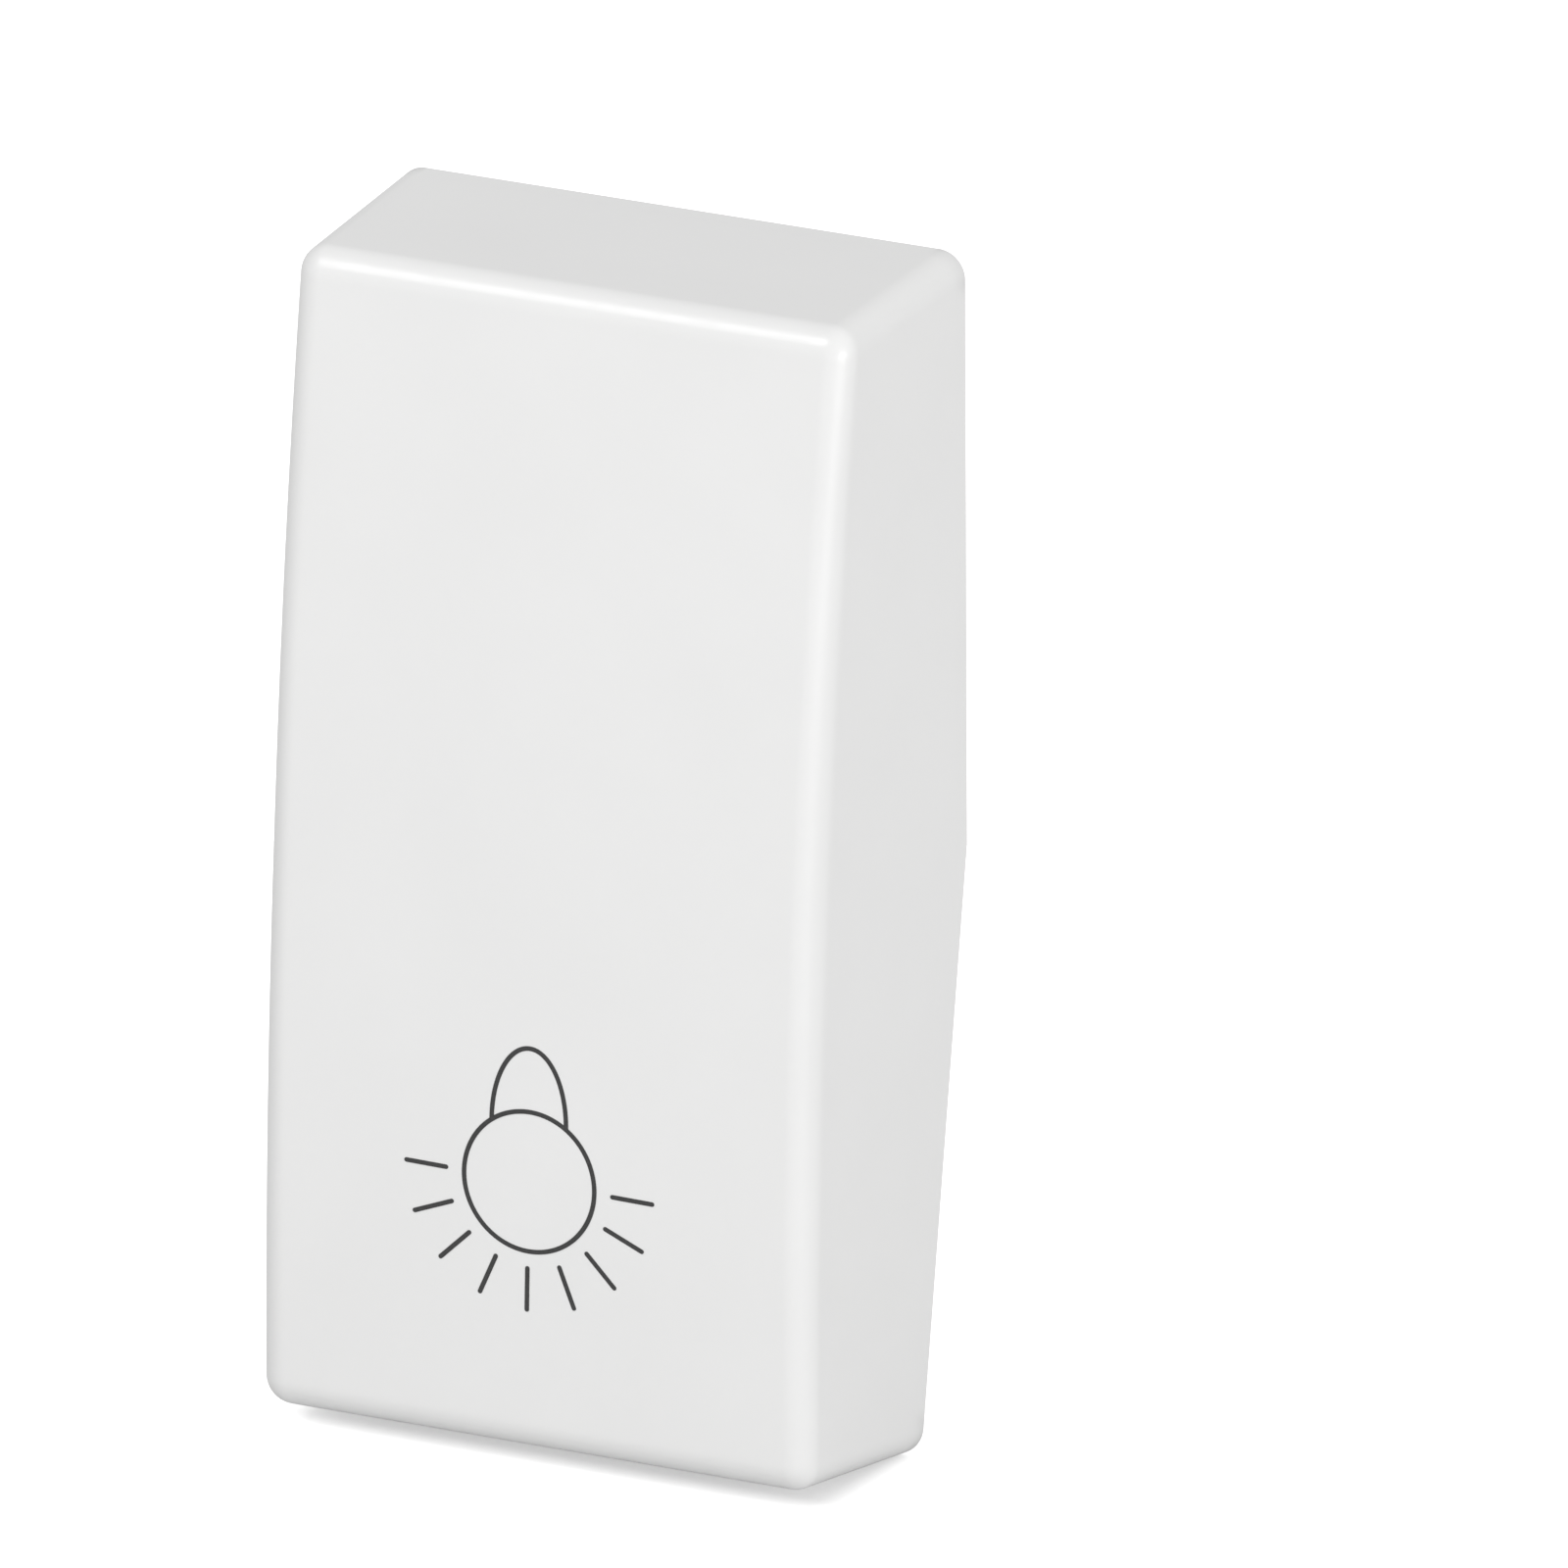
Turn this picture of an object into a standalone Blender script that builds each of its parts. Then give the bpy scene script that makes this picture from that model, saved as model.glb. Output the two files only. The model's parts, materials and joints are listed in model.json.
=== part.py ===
"""A slim one-module wall push-button: a white rocker key with a curved face, and the
battery-powered transmitter that hides behind it.

Metres, +Z up. The face looks towards -Y, and Y = 0 is the wall. The origin is the centre
of the adhesive pad's back. Every depth below is a Y coordinate, so it is negative.
"""

import math

import bmesh
import bpy
from mathutils import Matrix, Vector

MM = 0.001

# ---------------------------------------------------------------- driving dimensions

# Rocker key: the outer form
FACE_WIDTH = 21.67 * MM
FACE_HEIGHT = 42.85 * MM
FACE_Y = -12.25 * MM
CROWN = 1.07 * MM
DEPTH_AT_MIDDLE = 11.0 * MM
DEPTH_AT_ENDS = 9.1 * MM
SIDE_DRAFT = math.radians(1.65)
END_DRAFT = math.radians(5.65)
EDGE_RADIUS = 1.0 * MM
INNER_RADIUS = 0.35 * MM
KEY_WALL = 1.2 * MM
KEY_FACE_WALL = 1.25 * MM
KEY_SLICES = 20
BEVEL_SEGMENTS = 4
RIB_WIDTH = 0.8 * MM
RIB_X = 4.5 * MM
RIB_Z = 12.0 * MM
RIB_FRONT = -12.3 * MM
RIB_BACK = -10.75 * MM
PEG_RADIUS = 0.65 * MM
PEG_X = 8.0 * MM
PEG_Z = 18.6 * MM
PEG_BACK = -9.75 * MM

# Rocker cradle, and the axis it turns on
PIVOT_Y = -5.0 * MM
CRADLE_HALF = (9.35 * MM, 20.1 * MM)
CRADLE_FRONT = -10.6 * MM
CRADLE_BACK = -9.6 * MM
CRADLE_CORNER = 0.8 * MM
SOCKET_RADIUS = 0.8 * MM
EAR_INNER_X = 8.45 * MM
EAR_HALF_HEIGHT = 2.4 * MM
EAR_BACK = -3.3 * MM
EAR_BORE = 0.95 * MM
EAR_CORNER = 0.7 * MM
WINDOW_HALF_WIDTH = 7.2 * MM
WINDOW_Z = (-13.0 * MM, -8.2 * MM)
WINDOW_CORNER = 0.6 * MM
SWITCH_Z = -5.7 * MM
NUB_RADIUS = 0.85 * MM
NUB_BACK = -6.9 * MM
SPRING_BOSS_RADIUS = 0.9 * MM
SPRING_BOSS_BACK = -8.6 * MM

# Base housing: a tray, waisted where the cradle's ears come past it
HOUSING_HALF = (9.3 * MM, 19.6 * MM)
HOUSING_FRONT = -8.4 * MM
HOUSING_BACK = -2.0 * MM
HOUSING_FLOOR = -2.8 * MM
HOUSING_WALL = 0.8 * MM
HOUSING_CORNER = 0.9 * MM
BAY_CORNER = 0.4 * MM
WAIST_HALF_WIDTH = 8.1 * MM
WAIST_HALF_HEIGHT = 4.2 * MM
LEDGE_HALF = (0.8 * MM, 0.6 * MM)
LEDGE_Z = -4.3 * MM
LEDGE_FRONT = -7.5 * MM

# Pivot pins
PIN_RADIUS = 0.75 * MM
PIN_BORE = 0.85 * MM
PIN_HEAD_RADIUS = 1.1 * MM
PIN_INNER_X = 6.9 * MM
PIN_SHOULDER_X = 7.2 * MM
PIN_OUTER_X = 9.3 * MM
PIN_HEAD_OVERLAP = 0.1 * MM

# Wall plate, its hooks and its pad
PLATE_HALF = (9.0 * MM, 17.8 * MM)
PLATE_FRONT = -1.7 * MM
PLATE_BACK = -0.3 * MM
PLATE_CORNER = 1.5 * MM
PAD_HALF = (6.0 * MM, 7.0 * MM)
PAD_FRONT = -0.75 * MM
PAD_CORNER = 1.1 * MM
POCKET_FRONT = -0.85 * MM
SCREW_SLOT_HALF = (1.7 * MM, 3.0 * MM)
SCREW_SLOT_CORNER = 1.65 * MM
SCREW_SLOT_SEGMENTS = 6
SCREW_SLOT_Z = 13.2 * MM
HOOK_X = 5.4 * MM
HOOK_Z = 9.0 * MM
HOOK_HALF = (1.5 * MM, 0.6 * MM)
HOOK_LIP = 1.0 * MM
HOOK_FRONT = -3.35 * MM
HOOK_LIP_BACK = -2.9 * MM
HOOK_LIP_INSET = 0.02 * MM
RELEASE_TRAVEL = 3.0 * MM

# Circuit board
BOARD_HALF = (8.2 * MM, 18.5 * MM)
BOARD_WAIST = (6.2 * MM, 5.5 * MM)
BOARD_FRONT = -4.3 * MM
BOARD_BACK = -3.5 * MM
BOARD_CORNER = 0.5 * MM
BOARD_REST_RADIUS = 1.0 * MM
BOARD_REST_Z = (13.5 * MM, 3.5 * MM, -8.5 * MM)

# Coin cell
CELL_RADIUS = 8.0 * MM
CELL_Z = 10.6 * MM
CELL_FRONT = -7.9 * MM
CELL_BACK = -4.7 * MM
CELL_CAP_RADIUS = 7.1 * MM
CELL_EDGE = 0.12 * MM
CELL_CRIMP = 0.3 * MM
CELL_OPENING = 8.3 * MM
CELL_LIP_X = 4.6 * MM
CELL_LIP_HALF_WIDTH = 0.8 * MM
CELL_LIP_REACH = 7.0 * MM
CELL_LIP_FRONT = -8.3 * MM
CELL_LIP_BACK = -8.0 * MM

# Battery contacts: a leaf under the cell, and an upright that bears on its side
CONTACT_SHEET = 0.12 * MM
LEAF_HALF = (1.75 * MM, 5.5 * MM)
LEAF_CORNER = 0.8 * MM
CONTACT_GAP = 0.3 * MM
UPRIGHT_HALF_WIDTH = 1.8 * MM
UPRIGHT_SHEET = 0.2 * MM
FOOT_HALF_WIDTH = 2.0 * MM
FOOT_LENGTH = 1.9 * MM

# Board cover, its screws and its spring cup
COVER_BACK = -7.6 * MM
COVER_TOP_Z = 1.0 * MM
COVER_GAP = 0.15 * MM
COVER_CORNER = 0.5 * MM
NUB_HOLE = 1.6 * MM
LED_WINDOW = 0.8 * MM
SCREW_X = 6.3 * MM
SCREW_Z = -16.6 * MM
SCREW_BOSS_RADIUS = 1.7 * MM
SCREW_BOSS_FRONT = -6.5 * MM
SCREW_SEAT_BACK = -6.65 * MM
SCREW_SEAT_RADIUS = 2.0 * MM
SCREW_SEAT_Y = -7.45 * MM
SCREW_HEAD_RADIUS = 1.3 * MM
SCREW_HEAD_FRONT = -8.3 * MM
SCREW_HEAD_BACK = -7.5 * MM
SCREW_HEAD_DOME = 0.35 * MM
SCREW_RADIUS = 0.75 * MM
SCREW_POINT = 0.5 * MM
SCREW_END = -4.4 * MM
RECESS_HALF_LENGTH = 0.75 * MM
RECESS_HALF_WIDTH = 0.15 * MM
RECESS_DEPTH = 0.4 * MM
SPRING_Z = -14.2 * MM
CUP_OUTER = 2.4 * MM
CUP_INNER = 1.9 * MM
CUP_BACK = -4.7 * MM
CUP_FLOOR = -5.1 * MM

# Return spring
SPRING_RADIUS = 1.4 * MM
SPRING_WIRE = 0.17 * MM
SPRING_TURNS = 6
SPRING_POINTS_PER_TURN = 12
SPRING_CLOSED_COILS = 1.0
SPRING_CLOSED_PITCH = 2.2 * SPRING_WIRE

# Stop pads on which the cradle's upper end rests
STOP_X = 6.6 * MM
STOP_Z = 17.2 * MM
STOP_BOSS_RADIUS = 1.1 * MM
STOP_RADIUS = 0.9 * MM
STOP_STEM_RADIUS = 0.45 * MM
STOP_STEM_BACK = -7.6 * MM
STOP_CHAMFER = (0.2 * MM, 0.25 * MM)

# Key switch
SWITCH_HALF = 2.2 * MM
SWITCH_CORNER = 0.3 * MM
SWITCH_FRONT = -5.8 * MM
SWITCH_WELL = -4.9 * MM
SWITCH_WELL_RADIUS = 1.45 * MM
SWITCH_PLATE_FRONT = -6.05 * MM
SWITCH_PLATE_RADIUS = 1.2 * MM
PLUNGER_RADIUS = 1.0 * MM
PLUNGER_FLANGE = 1.3 * MM
PLUNGER_FLANGE_Y = (-5.75 * MM, -5.4 * MM)
PLUNGER_FRONT = -6.8 * MM
PLUNGER_EDGE = 0.15 * MM
DOME_RADIUS = 1.25 * MM
DOME_RISE = 0.3 * MM
DOME_SHEET = 0.08 * MM
DOME_RIM = -4.94 * MM
DOME_STEPS = 5

# Pairing switch
PAIRING_X = 5.4 * MM
PAIRING_Z = -11.5 * MM
PAIRING_HALF = 1.4 * MM
PAIRING_CORNER = 0.2 * MM
PAIRING_FRONT = -5.6 * MM
PAIRING_WELL = -4.9 * MM
PAIRING_BUTTON_RADIUS = 0.7 * MM
PAIRING_BUTTON_FRONT = -8.5 * MM
PAIRING_BUTTON_BACK = -5.25 * MM
PAIRING_BUTTON_EDGE = 0.12 * MM

# Small clearances
SEAT_GAP = 0.1 * MM
SIDE_GAP = 0.2 * MM
REACH = 1.0 * MM
WELD = 1e-7
CHIP_BEVEL = 0.08 * MM
SHARP_ANGLE = math.radians(35)

# Small parts soldered to the board: name, x, z, width, height, thickness, material
CHIP_PARTS = (
    ("radio_chip", 0.0, -9.9, 3.2, 3.2, 0.9, "chip_black"),
    ("crystal", -4.7, -8.4, 2.5, 2.0, 0.7, "crystal_steel"),
    ("chip_antenna", 0.0, -17.6, 6.0, 1.5, 1.0, "ceramic_white"),
    ("status_led", -5.4, -11.5, 1.6, 0.8, 0.6, "led_clear"),
    ("voltage_regulator", 4.9, -7.5, 2.8, 1.5, 1.0, "chip_black"),
)
CAPACITOR_PLACES = ((-2.5, -9.2), (2.5, -9.2), (2.5, -11.1), (-4.6, -1.2), (4.6, -1.2))
CAPACITOR_SIZE = (0.8, 1.6, 0.8)
RESISTOR_PLACES = ((-2.5, -11.1), (-3.6, -4.3), (3.6, -4.3), (-3.6, -6.2))
RESISTOR_SIZE = (0.8, 1.6, 0.45)

COLOURS = {
    # name: (red, green, blue), roughness, metallic
    "key_white": ((0.86, 0.86, 0.85), 0.42, 0.0),
    "cradle_grey": ((0.62, 0.63, 0.64), 0.5, 0.0),
    "housing_white": ((0.78, 0.78, 0.76), 0.5, 0.0),
    "plate_grey": ((0.55, 0.56, 0.57), 0.55, 0.0),
    "cover_grey": ((0.33, 0.34, 0.36), 0.5, 0.0),
    "foam_dark": ((0.09, 0.09, 0.10), 0.9, 0.0),
    "silicone_clear": ((0.72, 0.73, 0.72), 0.6, 0.0),
    "board_green": ((0.02, 0.20, 0.11), 0.4, 0.0),
    "cell_steel": ((0.66, 0.66, 0.65), 0.28, 1.0),
    "spring_steel": ((0.60, 0.60, 0.60), 0.3, 1.0),
    "pin_steel": ((0.63, 0.63, 0.62), 0.25, 1.0),
    "screw_steel": ((0.58, 0.58, 0.57), 0.35, 1.0),
    "contact_nickel": ((0.72, 0.68, 0.60), 0.3, 1.0),
    "switch_black": ((0.03, 0.03, 0.03), 0.45, 0.0),
    "plunger_white": ((0.80, 0.80, 0.78), 0.5, 0.0),
    "chip_black": ((0.025, 0.025, 0.028), 0.5, 0.0),
    "crystal_steel": ((0.70, 0.70, 0.69), 0.3, 1.0),
    "ceramic_white": ((0.80, 0.79, 0.74), 0.4, 0.0),
    "capacitor_tan": ((0.52, 0.40, 0.26), 0.45, 0.0),
    "resistor_black": ((0.04, 0.04, 0.045), 0.45, 0.0),
    "led_clear": ((0.88, 0.86, 0.70), 0.2, 0.0),
}


# ---------------------------------------------------------------- scene and materials


def clear_scene():
    for obj in list(bpy.data.objects):
        bpy.data.objects.remove(obj, do_unlink=True)


def new_collection(name):
    collection = bpy.data.collections.new(name)
    bpy.context.scene.collection.children.link(collection)
    return collection


def make_material(name):
    colour, roughness, metallic = COLOURS[name]
    material = bpy.data.materials.new(name)
    material.use_nodes = True
    shader = material.node_tree.nodes["Principled BSDF"]
    shader.inputs["Base Color"].default_value = (*colour, 1.0)
    shader.inputs["Roughness"].default_value = roughness
    shader.inputs["Metallic"].default_value = metallic
    material.diffuse_color = (*colour, 1.0)
    return material


clear_scene()
PARTS = new_collection("wall_push_button")
CUTTERS = new_collection("cutters")
MATERIALS = {name: make_material(name) for name in COLOURS}


# ---------------------------------------------------------------- building blocks


def mesh_from(bm, name):
    if bm.calc_volume(signed=True) < 0:
        bmesh.ops.reverse_faces(bm, faces=bm.faces)
    mesh = bpy.data.meshes.new(name)
    bm.to_mesh(mesh)
    bm.free()
    mesh.shade_smooth()
    mesh.set_sharp_from_angle(angle=SHARP_ANGLE)
    return mesh


def add_part(name, data, material, location=(0, 0, 0)):
    """A visible piece, which becomes one node."""
    obj = bpy.data.objects.new(name, data)
    if not data.materials:
        data.materials.append(MATERIALS[material])
    obj.location = location
    PARTS.objects.link(obj)
    return obj


def add_tool(name, bm):
    """A hidden piece that a Boolean cuts away or joins on."""
    obj = bpy.data.objects.new(name, mesh_from(bm, name))
    obj.hide_render = True
    obj.display_type = "WIRE"
    CUTTERS.objects.link(obj)
    return obj


def combine(obj, bm, operation, label):
    modifier = obj.modifiers.new(label, "BOOLEAN")
    modifier.operation = operation
    modifier.object = add_tool(f"{obj.name}_{label}", bm)


def cut(obj, bm, label):
    combine(obj, bm, "DIFFERENCE", label)


def join(obj, bm, label):
    combine(obj, bm, "UNION", label)


def box(low, high):
    """A box between two corners."""
    bm = bmesh.new()
    bmesh.ops.create_cube(bm, size=1.0)
    low = Vector(low)
    high = Vector(high)
    size = high - low
    bm.transform(Matrix.Translation((low + high) / 2) @ Matrix.Diagonal((*size, 1.0)))
    return bm


def block(half_width, half_height, front, back, centre=(0.0, 0.0)):
    """A box given as it is seen from the front: half sizes, a front and a back depth."""
    x, z = centre
    low = (x - half_width, front, z - half_height)
    high = (x + half_width, back, z + half_height)
    return box(low, high)


def along(axis, edge):
    a, b = edge.verts
    return abs((b.co - a.co).normalized()[axis]) > 0.99


def rounded(bm, radius, axis=1, segments=BEVEL_SEGMENTS):
    """Rounds the edges that run along one axis."""
    edges = [edge for edge in bm.edges if along(axis, edge)]
    bmesh.ops.bevel(
        bm, geom=edges, offset=radius, segments=segments, profile=0.5, affect="EDGES"
    )
    return bm


def softened(bm, width):
    """Takes a small bevel off every edge."""
    bmesh.ops.bevel(
        bm, geom=list(bm.edges), offset=width, segments=1, profile=0.5, affect="EDGES"
    )
    return bm


def disc(radius, front, back, centre=(0.0, 0.0), sides=24):
    """A cylinder along Y, with its centre given as (x, z)."""
    bm = bmesh.new()
    bmesh.ops.create_cone(
        bm, cap_ends=True, segments=sides, radius1=radius, radius2=radius, depth=back - front
    )
    turn = Matrix.Rotation(math.radians(-90), 4, "X")
    shift = Matrix.Translation((centre[0], (front + back) / 2, centre[1]))
    bm.transform(shift @ turn)
    return bm


def rod(radius, inner_x, outer_x, y, z=0.0, sides=24):
    """A cylinder along X."""
    bm = bmesh.new()
    bmesh.ops.create_cone(
        bm,
        cap_ends=True,
        segments=sides,
        radius1=radius,
        radius2=radius,
        depth=abs(outer_x - inner_x),
    )
    turn = Matrix.Rotation(math.radians(90), 4, "Y")
    bm.transform(Matrix.Translation(((inner_x + outer_x) / 2, y, z)) @ turn)
    return bm


def turned(profile, sides=32):
    """A solid turned about Y from (radius, y) points that start and end on the axis."""
    bm = bmesh.new()
    verts = [bm.verts.new((radius, y, 0.0)) for radius, y in profile]
    edges = [bm.edges.new(pair) for pair in zip(verts, verts[1:])]
    bmesh.ops.spin(
        bm,
        geom=verts + edges,
        cent=(0, 0, 0),
        axis=(0, 1, 0),
        angle=math.radians(360),
        steps=sides,
        use_merge=True,
    )
    bmesh.ops.remove_doubles(bm, verts=bm.verts, dist=WELD)
    return bm


def both_sides(x):
    return (("left", -x), ("right", x))


# ---------------------------------------------------------------- rocker key


def face_surface(z):
    """Depth of the key's crowned face at height z."""
    return FACE_Y - CROWN * (1 - (z / (FACE_HEIGHT / 2)) ** 2)


def inner_surface(z):
    return face_surface(z) + KEY_FACE_WALL


def rim_surface(z):
    """Depth of the skirt's rear edge: deepest at the middle, so the key can rock."""
    slope = (DEPTH_AT_MIDDLE - DEPTH_AT_ENDS) / (FACE_HEIGHT / 2)
    return FACE_Y + DEPTH_AT_MIDDLE - slope * abs(z)


def past_rim(z):
    return FACE_Y + DEPTH_AT_MIDDLE + REACH


def cap_block(inset, radius, front, rear):
    """The key's drafted form, shrunk by inset, between two depth functions of z."""
    half_width = FACE_WIDTH / 2 - inset
    half_height = FACE_HEIGHT / 2 - inset
    bm = block(half_width, half_height, 0.0, DEPTH_AT_MIDDLE)
    edges = [edge for edge in bm.edges if along(1, edge)]
    edges += [edge for edge in bm.edges if all(v.co.y < WELD for v in edge.verts)]
    bmesh.ops.bevel(
        bm, geom=edges, offset=radius, segments=BEVEL_SEGMENTS, profile=0.5, affect="EDGES"
    )
    for i in range(1, KEY_SLICES):
        z = half_height * (2 * i / KEY_SLICES - 1)
        bmesh.ops.bisect_plane(
            bm,
            geom=bm.verts[:] + bm.edges[:] + bm.faces[:],
            dist=WELD,
            plane_co=(0, 0, z),
            plane_no=(0, 0, 1),
        )
    for vert in bm.verts:
        x, y, z = vert.co
        share = y / DEPTH_AT_MIDDLE
        depth = front(z) * (1 - share) + rear(z) * share
        behind = depth - FACE_Y
        vert.co.x = x * (1 + behind * math.tan(SIDE_DRAFT) / half_width)
        vert.co.y = depth
        vert.co.z = z * (1 + behind * math.tan(END_DRAFT) / half_height)
    return bm


def make_rocker_key():
    form = cap_block(0.0, EDGE_RADIUS, face_surface, rim_surface)
    key = add_part("rocker_key", mesh_from(form, "rocker_key"), "key_white")
    cut(key, cap_block(KEY_WALL, INNER_RADIUS, inner_surface, past_rim), "hollow")
    for side, x in both_sides(RIB_X):
        rib = block(RIB_WIDTH / 2, PEG_Z, RIB_FRONT, RIB_BACK, (x, 0.0))
        join(key, rib, f"rib_{side}")
    for level, z in (("lower", -RIB_Z), ("middle", 0.0), ("upper", RIB_Z)):
        half_span = FACE_WIDTH / 2 - KEY_WALL / 2
        rib = block(half_span, RIB_WIDTH / 2, RIB_FRONT, RIB_BACK - SEAT_GAP, (0.0, z))
        join(key, rib, f"rib_{level}")
    for side, x in both_sides(PEG_X):
        for level, z in (("lower", -PEG_Z), ("upper", PEG_Z)):
            peg = disc(PEG_RADIUS, RIB_FRONT, PEG_BACK, (x, z), 16)
            join(key, peg, f"peg_{level}_{side}")
    return key


# ---------------------------------------------------------------- rocker cradle


def make_rocker_cradle():
    plate = rounded(block(*CRADLE_HALF, CRADLE_FRONT, CRADLE_BACK), CRADLE_CORNER)
    cradle = add_part("rocker_cradle", mesh_from(plate, "rocker_cradle"), "cradle_grey")
    front = CRADLE_FRONT - REACH
    back = CRADLE_BACK + REACH
    cut(cradle, disc(CELL_OPENING, front, back, (0.0, CELL_Z), 48), "cell_opening")
    low, high = WINDOW_Z
    window = block(WINDOW_HALF_WIDTH, (high - low) / 2, front, back, (0.0, (low + high) / 2))
    cut(cradle, rounded(window, WINDOW_CORNER), "window")
    for side, x in both_sides(PEG_X):
        for level, z in (("lower", -PEG_Z), ("upper", PEG_Z)):
            cut(cradle, disc(SOCKET_RADIUS, front, back, (x, z), 16), f"socket_{level}_{side}")
    for side, x in both_sides((EAR_INNER_X + CRADLE_HALF[0]) / 2):
        half_width = (CRADLE_HALF[0] - EAR_INNER_X) / 2
        ear = block(half_width, EAR_HALF_HEIGHT, CRADLE_FRONT + SIDE_GAP, EAR_BACK, (x, 0.0))
        join(cradle, rounded(ear, EAR_CORNER, axis=0), f"ear_{side}")
        bore = rod(EAR_BORE, x - 2 * half_width, x + 2 * half_width, PIVOT_Y)
        cut(cradle, bore, f"bore_{side}")
    overlap = CRADLE_BACK - SIDE_GAP
    join(cradle, disc(NUB_RADIUS, overlap, NUB_BACK, (0.0, SWITCH_Z), 16), "nub")
    boss = disc(SPRING_BOSS_RADIUS, overlap, SPRING_BOSS_BACK, (0.0, SPRING_Z), 16)
    join(cradle, boss, "spring_boss")
    return cradle


# ---------------------------------------------------------------- base housing


def make_base_housing():
    tray = rounded(block(*HOUSING_HALF, HOUSING_FRONT, HOUSING_BACK), HOUSING_CORNER)
    housing = add_part("base_housing", mesh_from(tray, "base_housing"), "housing_white")
    half_width, half_height = (half - HOUSING_WALL for half in HOUSING_HALF)
    waist_width = WAIST_HALF_WIDTH - HOUSING_WALL
    waist_height = WAIST_HALF_HEIGHT + HOUSING_WALL
    front = HOUSING_FRONT - REACH
    for level, sign in (("lower", -1), ("upper", 1)):
        bay_half = (half_height - waist_height) / 2
        middle = sign * (half_height + waist_height) / 2
        bay = block(half_width, bay_half, front, HOUSING_FLOOR, (0.0, middle))
        cut(housing, rounded(bay, BAY_CORNER), f"bay_{level}")
    middle_bay = block(waist_width, waist_height + SIDE_GAP, front, HOUSING_FLOOR)
    cut(housing, middle_bay, "bay_middle")
    back = HOUSING_BACK + REACH
    for side, x in both_sides(WAIST_HALF_WIDTH + REACH):
        cut(housing, block(REACH, WAIST_HALF_HEIGHT, front, back, (x, 0.0)), f"waist_{side}")
    for side, x in both_sides(WAIST_HALF_WIDTH):
        cut(housing, rod(PIN_BORE, x - REACH, x + REACH, PIVOT_Y), f"pin_bore_{side}")
    sunk = HOUSING_FLOOR + HOUSING_WALL / 2
    for side, x in both_sides(SCREW_X):
        place = (x, SCREW_Z)
        join(housing, disc(SCREW_BOSS_RADIUS, SCREW_BOSS_FRONT, sunk, place), f"boss_{side}")
        pilot = disc(SCREW_RADIUS + SEAT_GAP, front, SCREW_END + SIDE_GAP, place, 16)
        cut(housing, pilot, f"pilot_{side}")
    for side, x in both_sides(STOP_X):
        place = (x, STOP_Z)
        join(housing, disc(STOP_BOSS_RADIUS, HOUSING_FRONT, sunk, place), f"stop_{side}")
        hole = disc(STOP_STEM_RADIUS + SEAT_GAP, front, STOP_STEM_BACK + SIDE_GAP, place, 16)
        cut(housing, hole, f"stop_hole_{side}")
    for side, x in both_sides(waist_width - SEAT_GAP):
        ledge = block(*LEDGE_HALF, LEDGE_FRONT, sunk, (x, LEDGE_Z))
        join(housing, ledge, f"ledge_{side}")
    for i, z in enumerate(BOARD_REST_Z):
        rest = disc(BOARD_REST_RADIUS, BOARD_BACK + SEAT_GAP, sunk, (0.0, z), 16)
        join(housing, rest, f"board_rest_{i}")
    for side, x in both_sides(CELL_LIP_X):
        low_z = CELL_Z + CELL_LIP_REACH
        high_z = HOUSING_HALF[1] - HOUSING_WALL / 2
        lip = block(
            CELL_LIP_HALF_WIDTH,
            (high_z - low_z) / 2,
            CELL_LIP_FRONT,
            CELL_LIP_BACK,
            (x, (low_z + high_z) / 2),
        )
        join(housing, lip, f"cell_lip_{side}")
    for side, x in both_sides(HOOK_X):
        for level, sign in (("lower", -1), ("upper", 1)):
            stem_low = sign * HOOK_Z - HOOK_HALF[1]
            low_z = stem_low - RELEASE_TRAVEL - SIDE_GAP
            high_z = stem_low + 2 * HOOK_HALF[1] + SIDE_GAP
            slot = block(
                HOOK_HALF[0] + SIDE_GAP,
                (high_z - low_z) / 2,
                HOUSING_FLOOR - REACH / 2,
                back,
                (x, (low_z + high_z) / 2),
            )
            cut(housing, slot, f"hook_slot_{level}_{side}")
    return housing


# ---------------------------------------------------------------- wall plate and pad


def make_wall_plate():
    sheet = rounded(block(*PLATE_HALF, PLATE_FRONT, PLATE_BACK), PLATE_CORNER)
    plate = add_part("wall_plate", mesh_from(sheet, "wall_plate"), "plate_grey")
    pocket = [half + SIDE_GAP for half in PAD_HALF]
    recess = rounded(block(*pocket, POCKET_FRONT, PLATE_BACK + REACH), PAD_CORNER)
    cut(plate, recess, "pad_recess")
    for level, z in (("lower", -SCREW_SLOT_Z), ("upper", SCREW_SLOT_Z)):
        slot = block(*SCREW_SLOT_HALF, PLATE_FRONT - REACH, PLATE_BACK + REACH, (0.0, z))
        ends = rounded(slot, SCREW_SLOT_CORNER, segments=SCREW_SLOT_SEGMENTS)
        cut(plate, ends, f"screw_slot_{level}")
    for side, x in both_sides(HOOK_X):
        for level, z in (("lower", -HOOK_Z), ("upper", HOOK_Z)):
            root = PLATE_FRONT + SIDE_GAP
            stem = block(*HOOK_HALF, HOOK_FRONT, root, (x, z))
            join(plate, stem, f"hook_stem_{level}_{side}")
            half_lip = HOOK_HALF[1] + HOOK_LIP / 2
            lip = block(
                HOOK_HALF[0] - HOOK_LIP_INSET,
                half_lip - HOOK_LIP_INSET,
                HOOK_FRONT + HOOK_LIP_INSET,
                HOOK_LIP_BACK,
                (x, z + HOOK_LIP / 2),
            )
            join(plate, lip, f"hook_lip_{level}_{side}")
    return plate


def make_adhesive_pad():
    pad = rounded(block(*PAD_HALF, PAD_FRONT, 0.0), PAD_CORNER)
    return add_part("adhesive_pad", mesh_from(pad, "adhesive_pad"), "foam_dark")


# ---------------------------------------------------------------- board and battery


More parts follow.
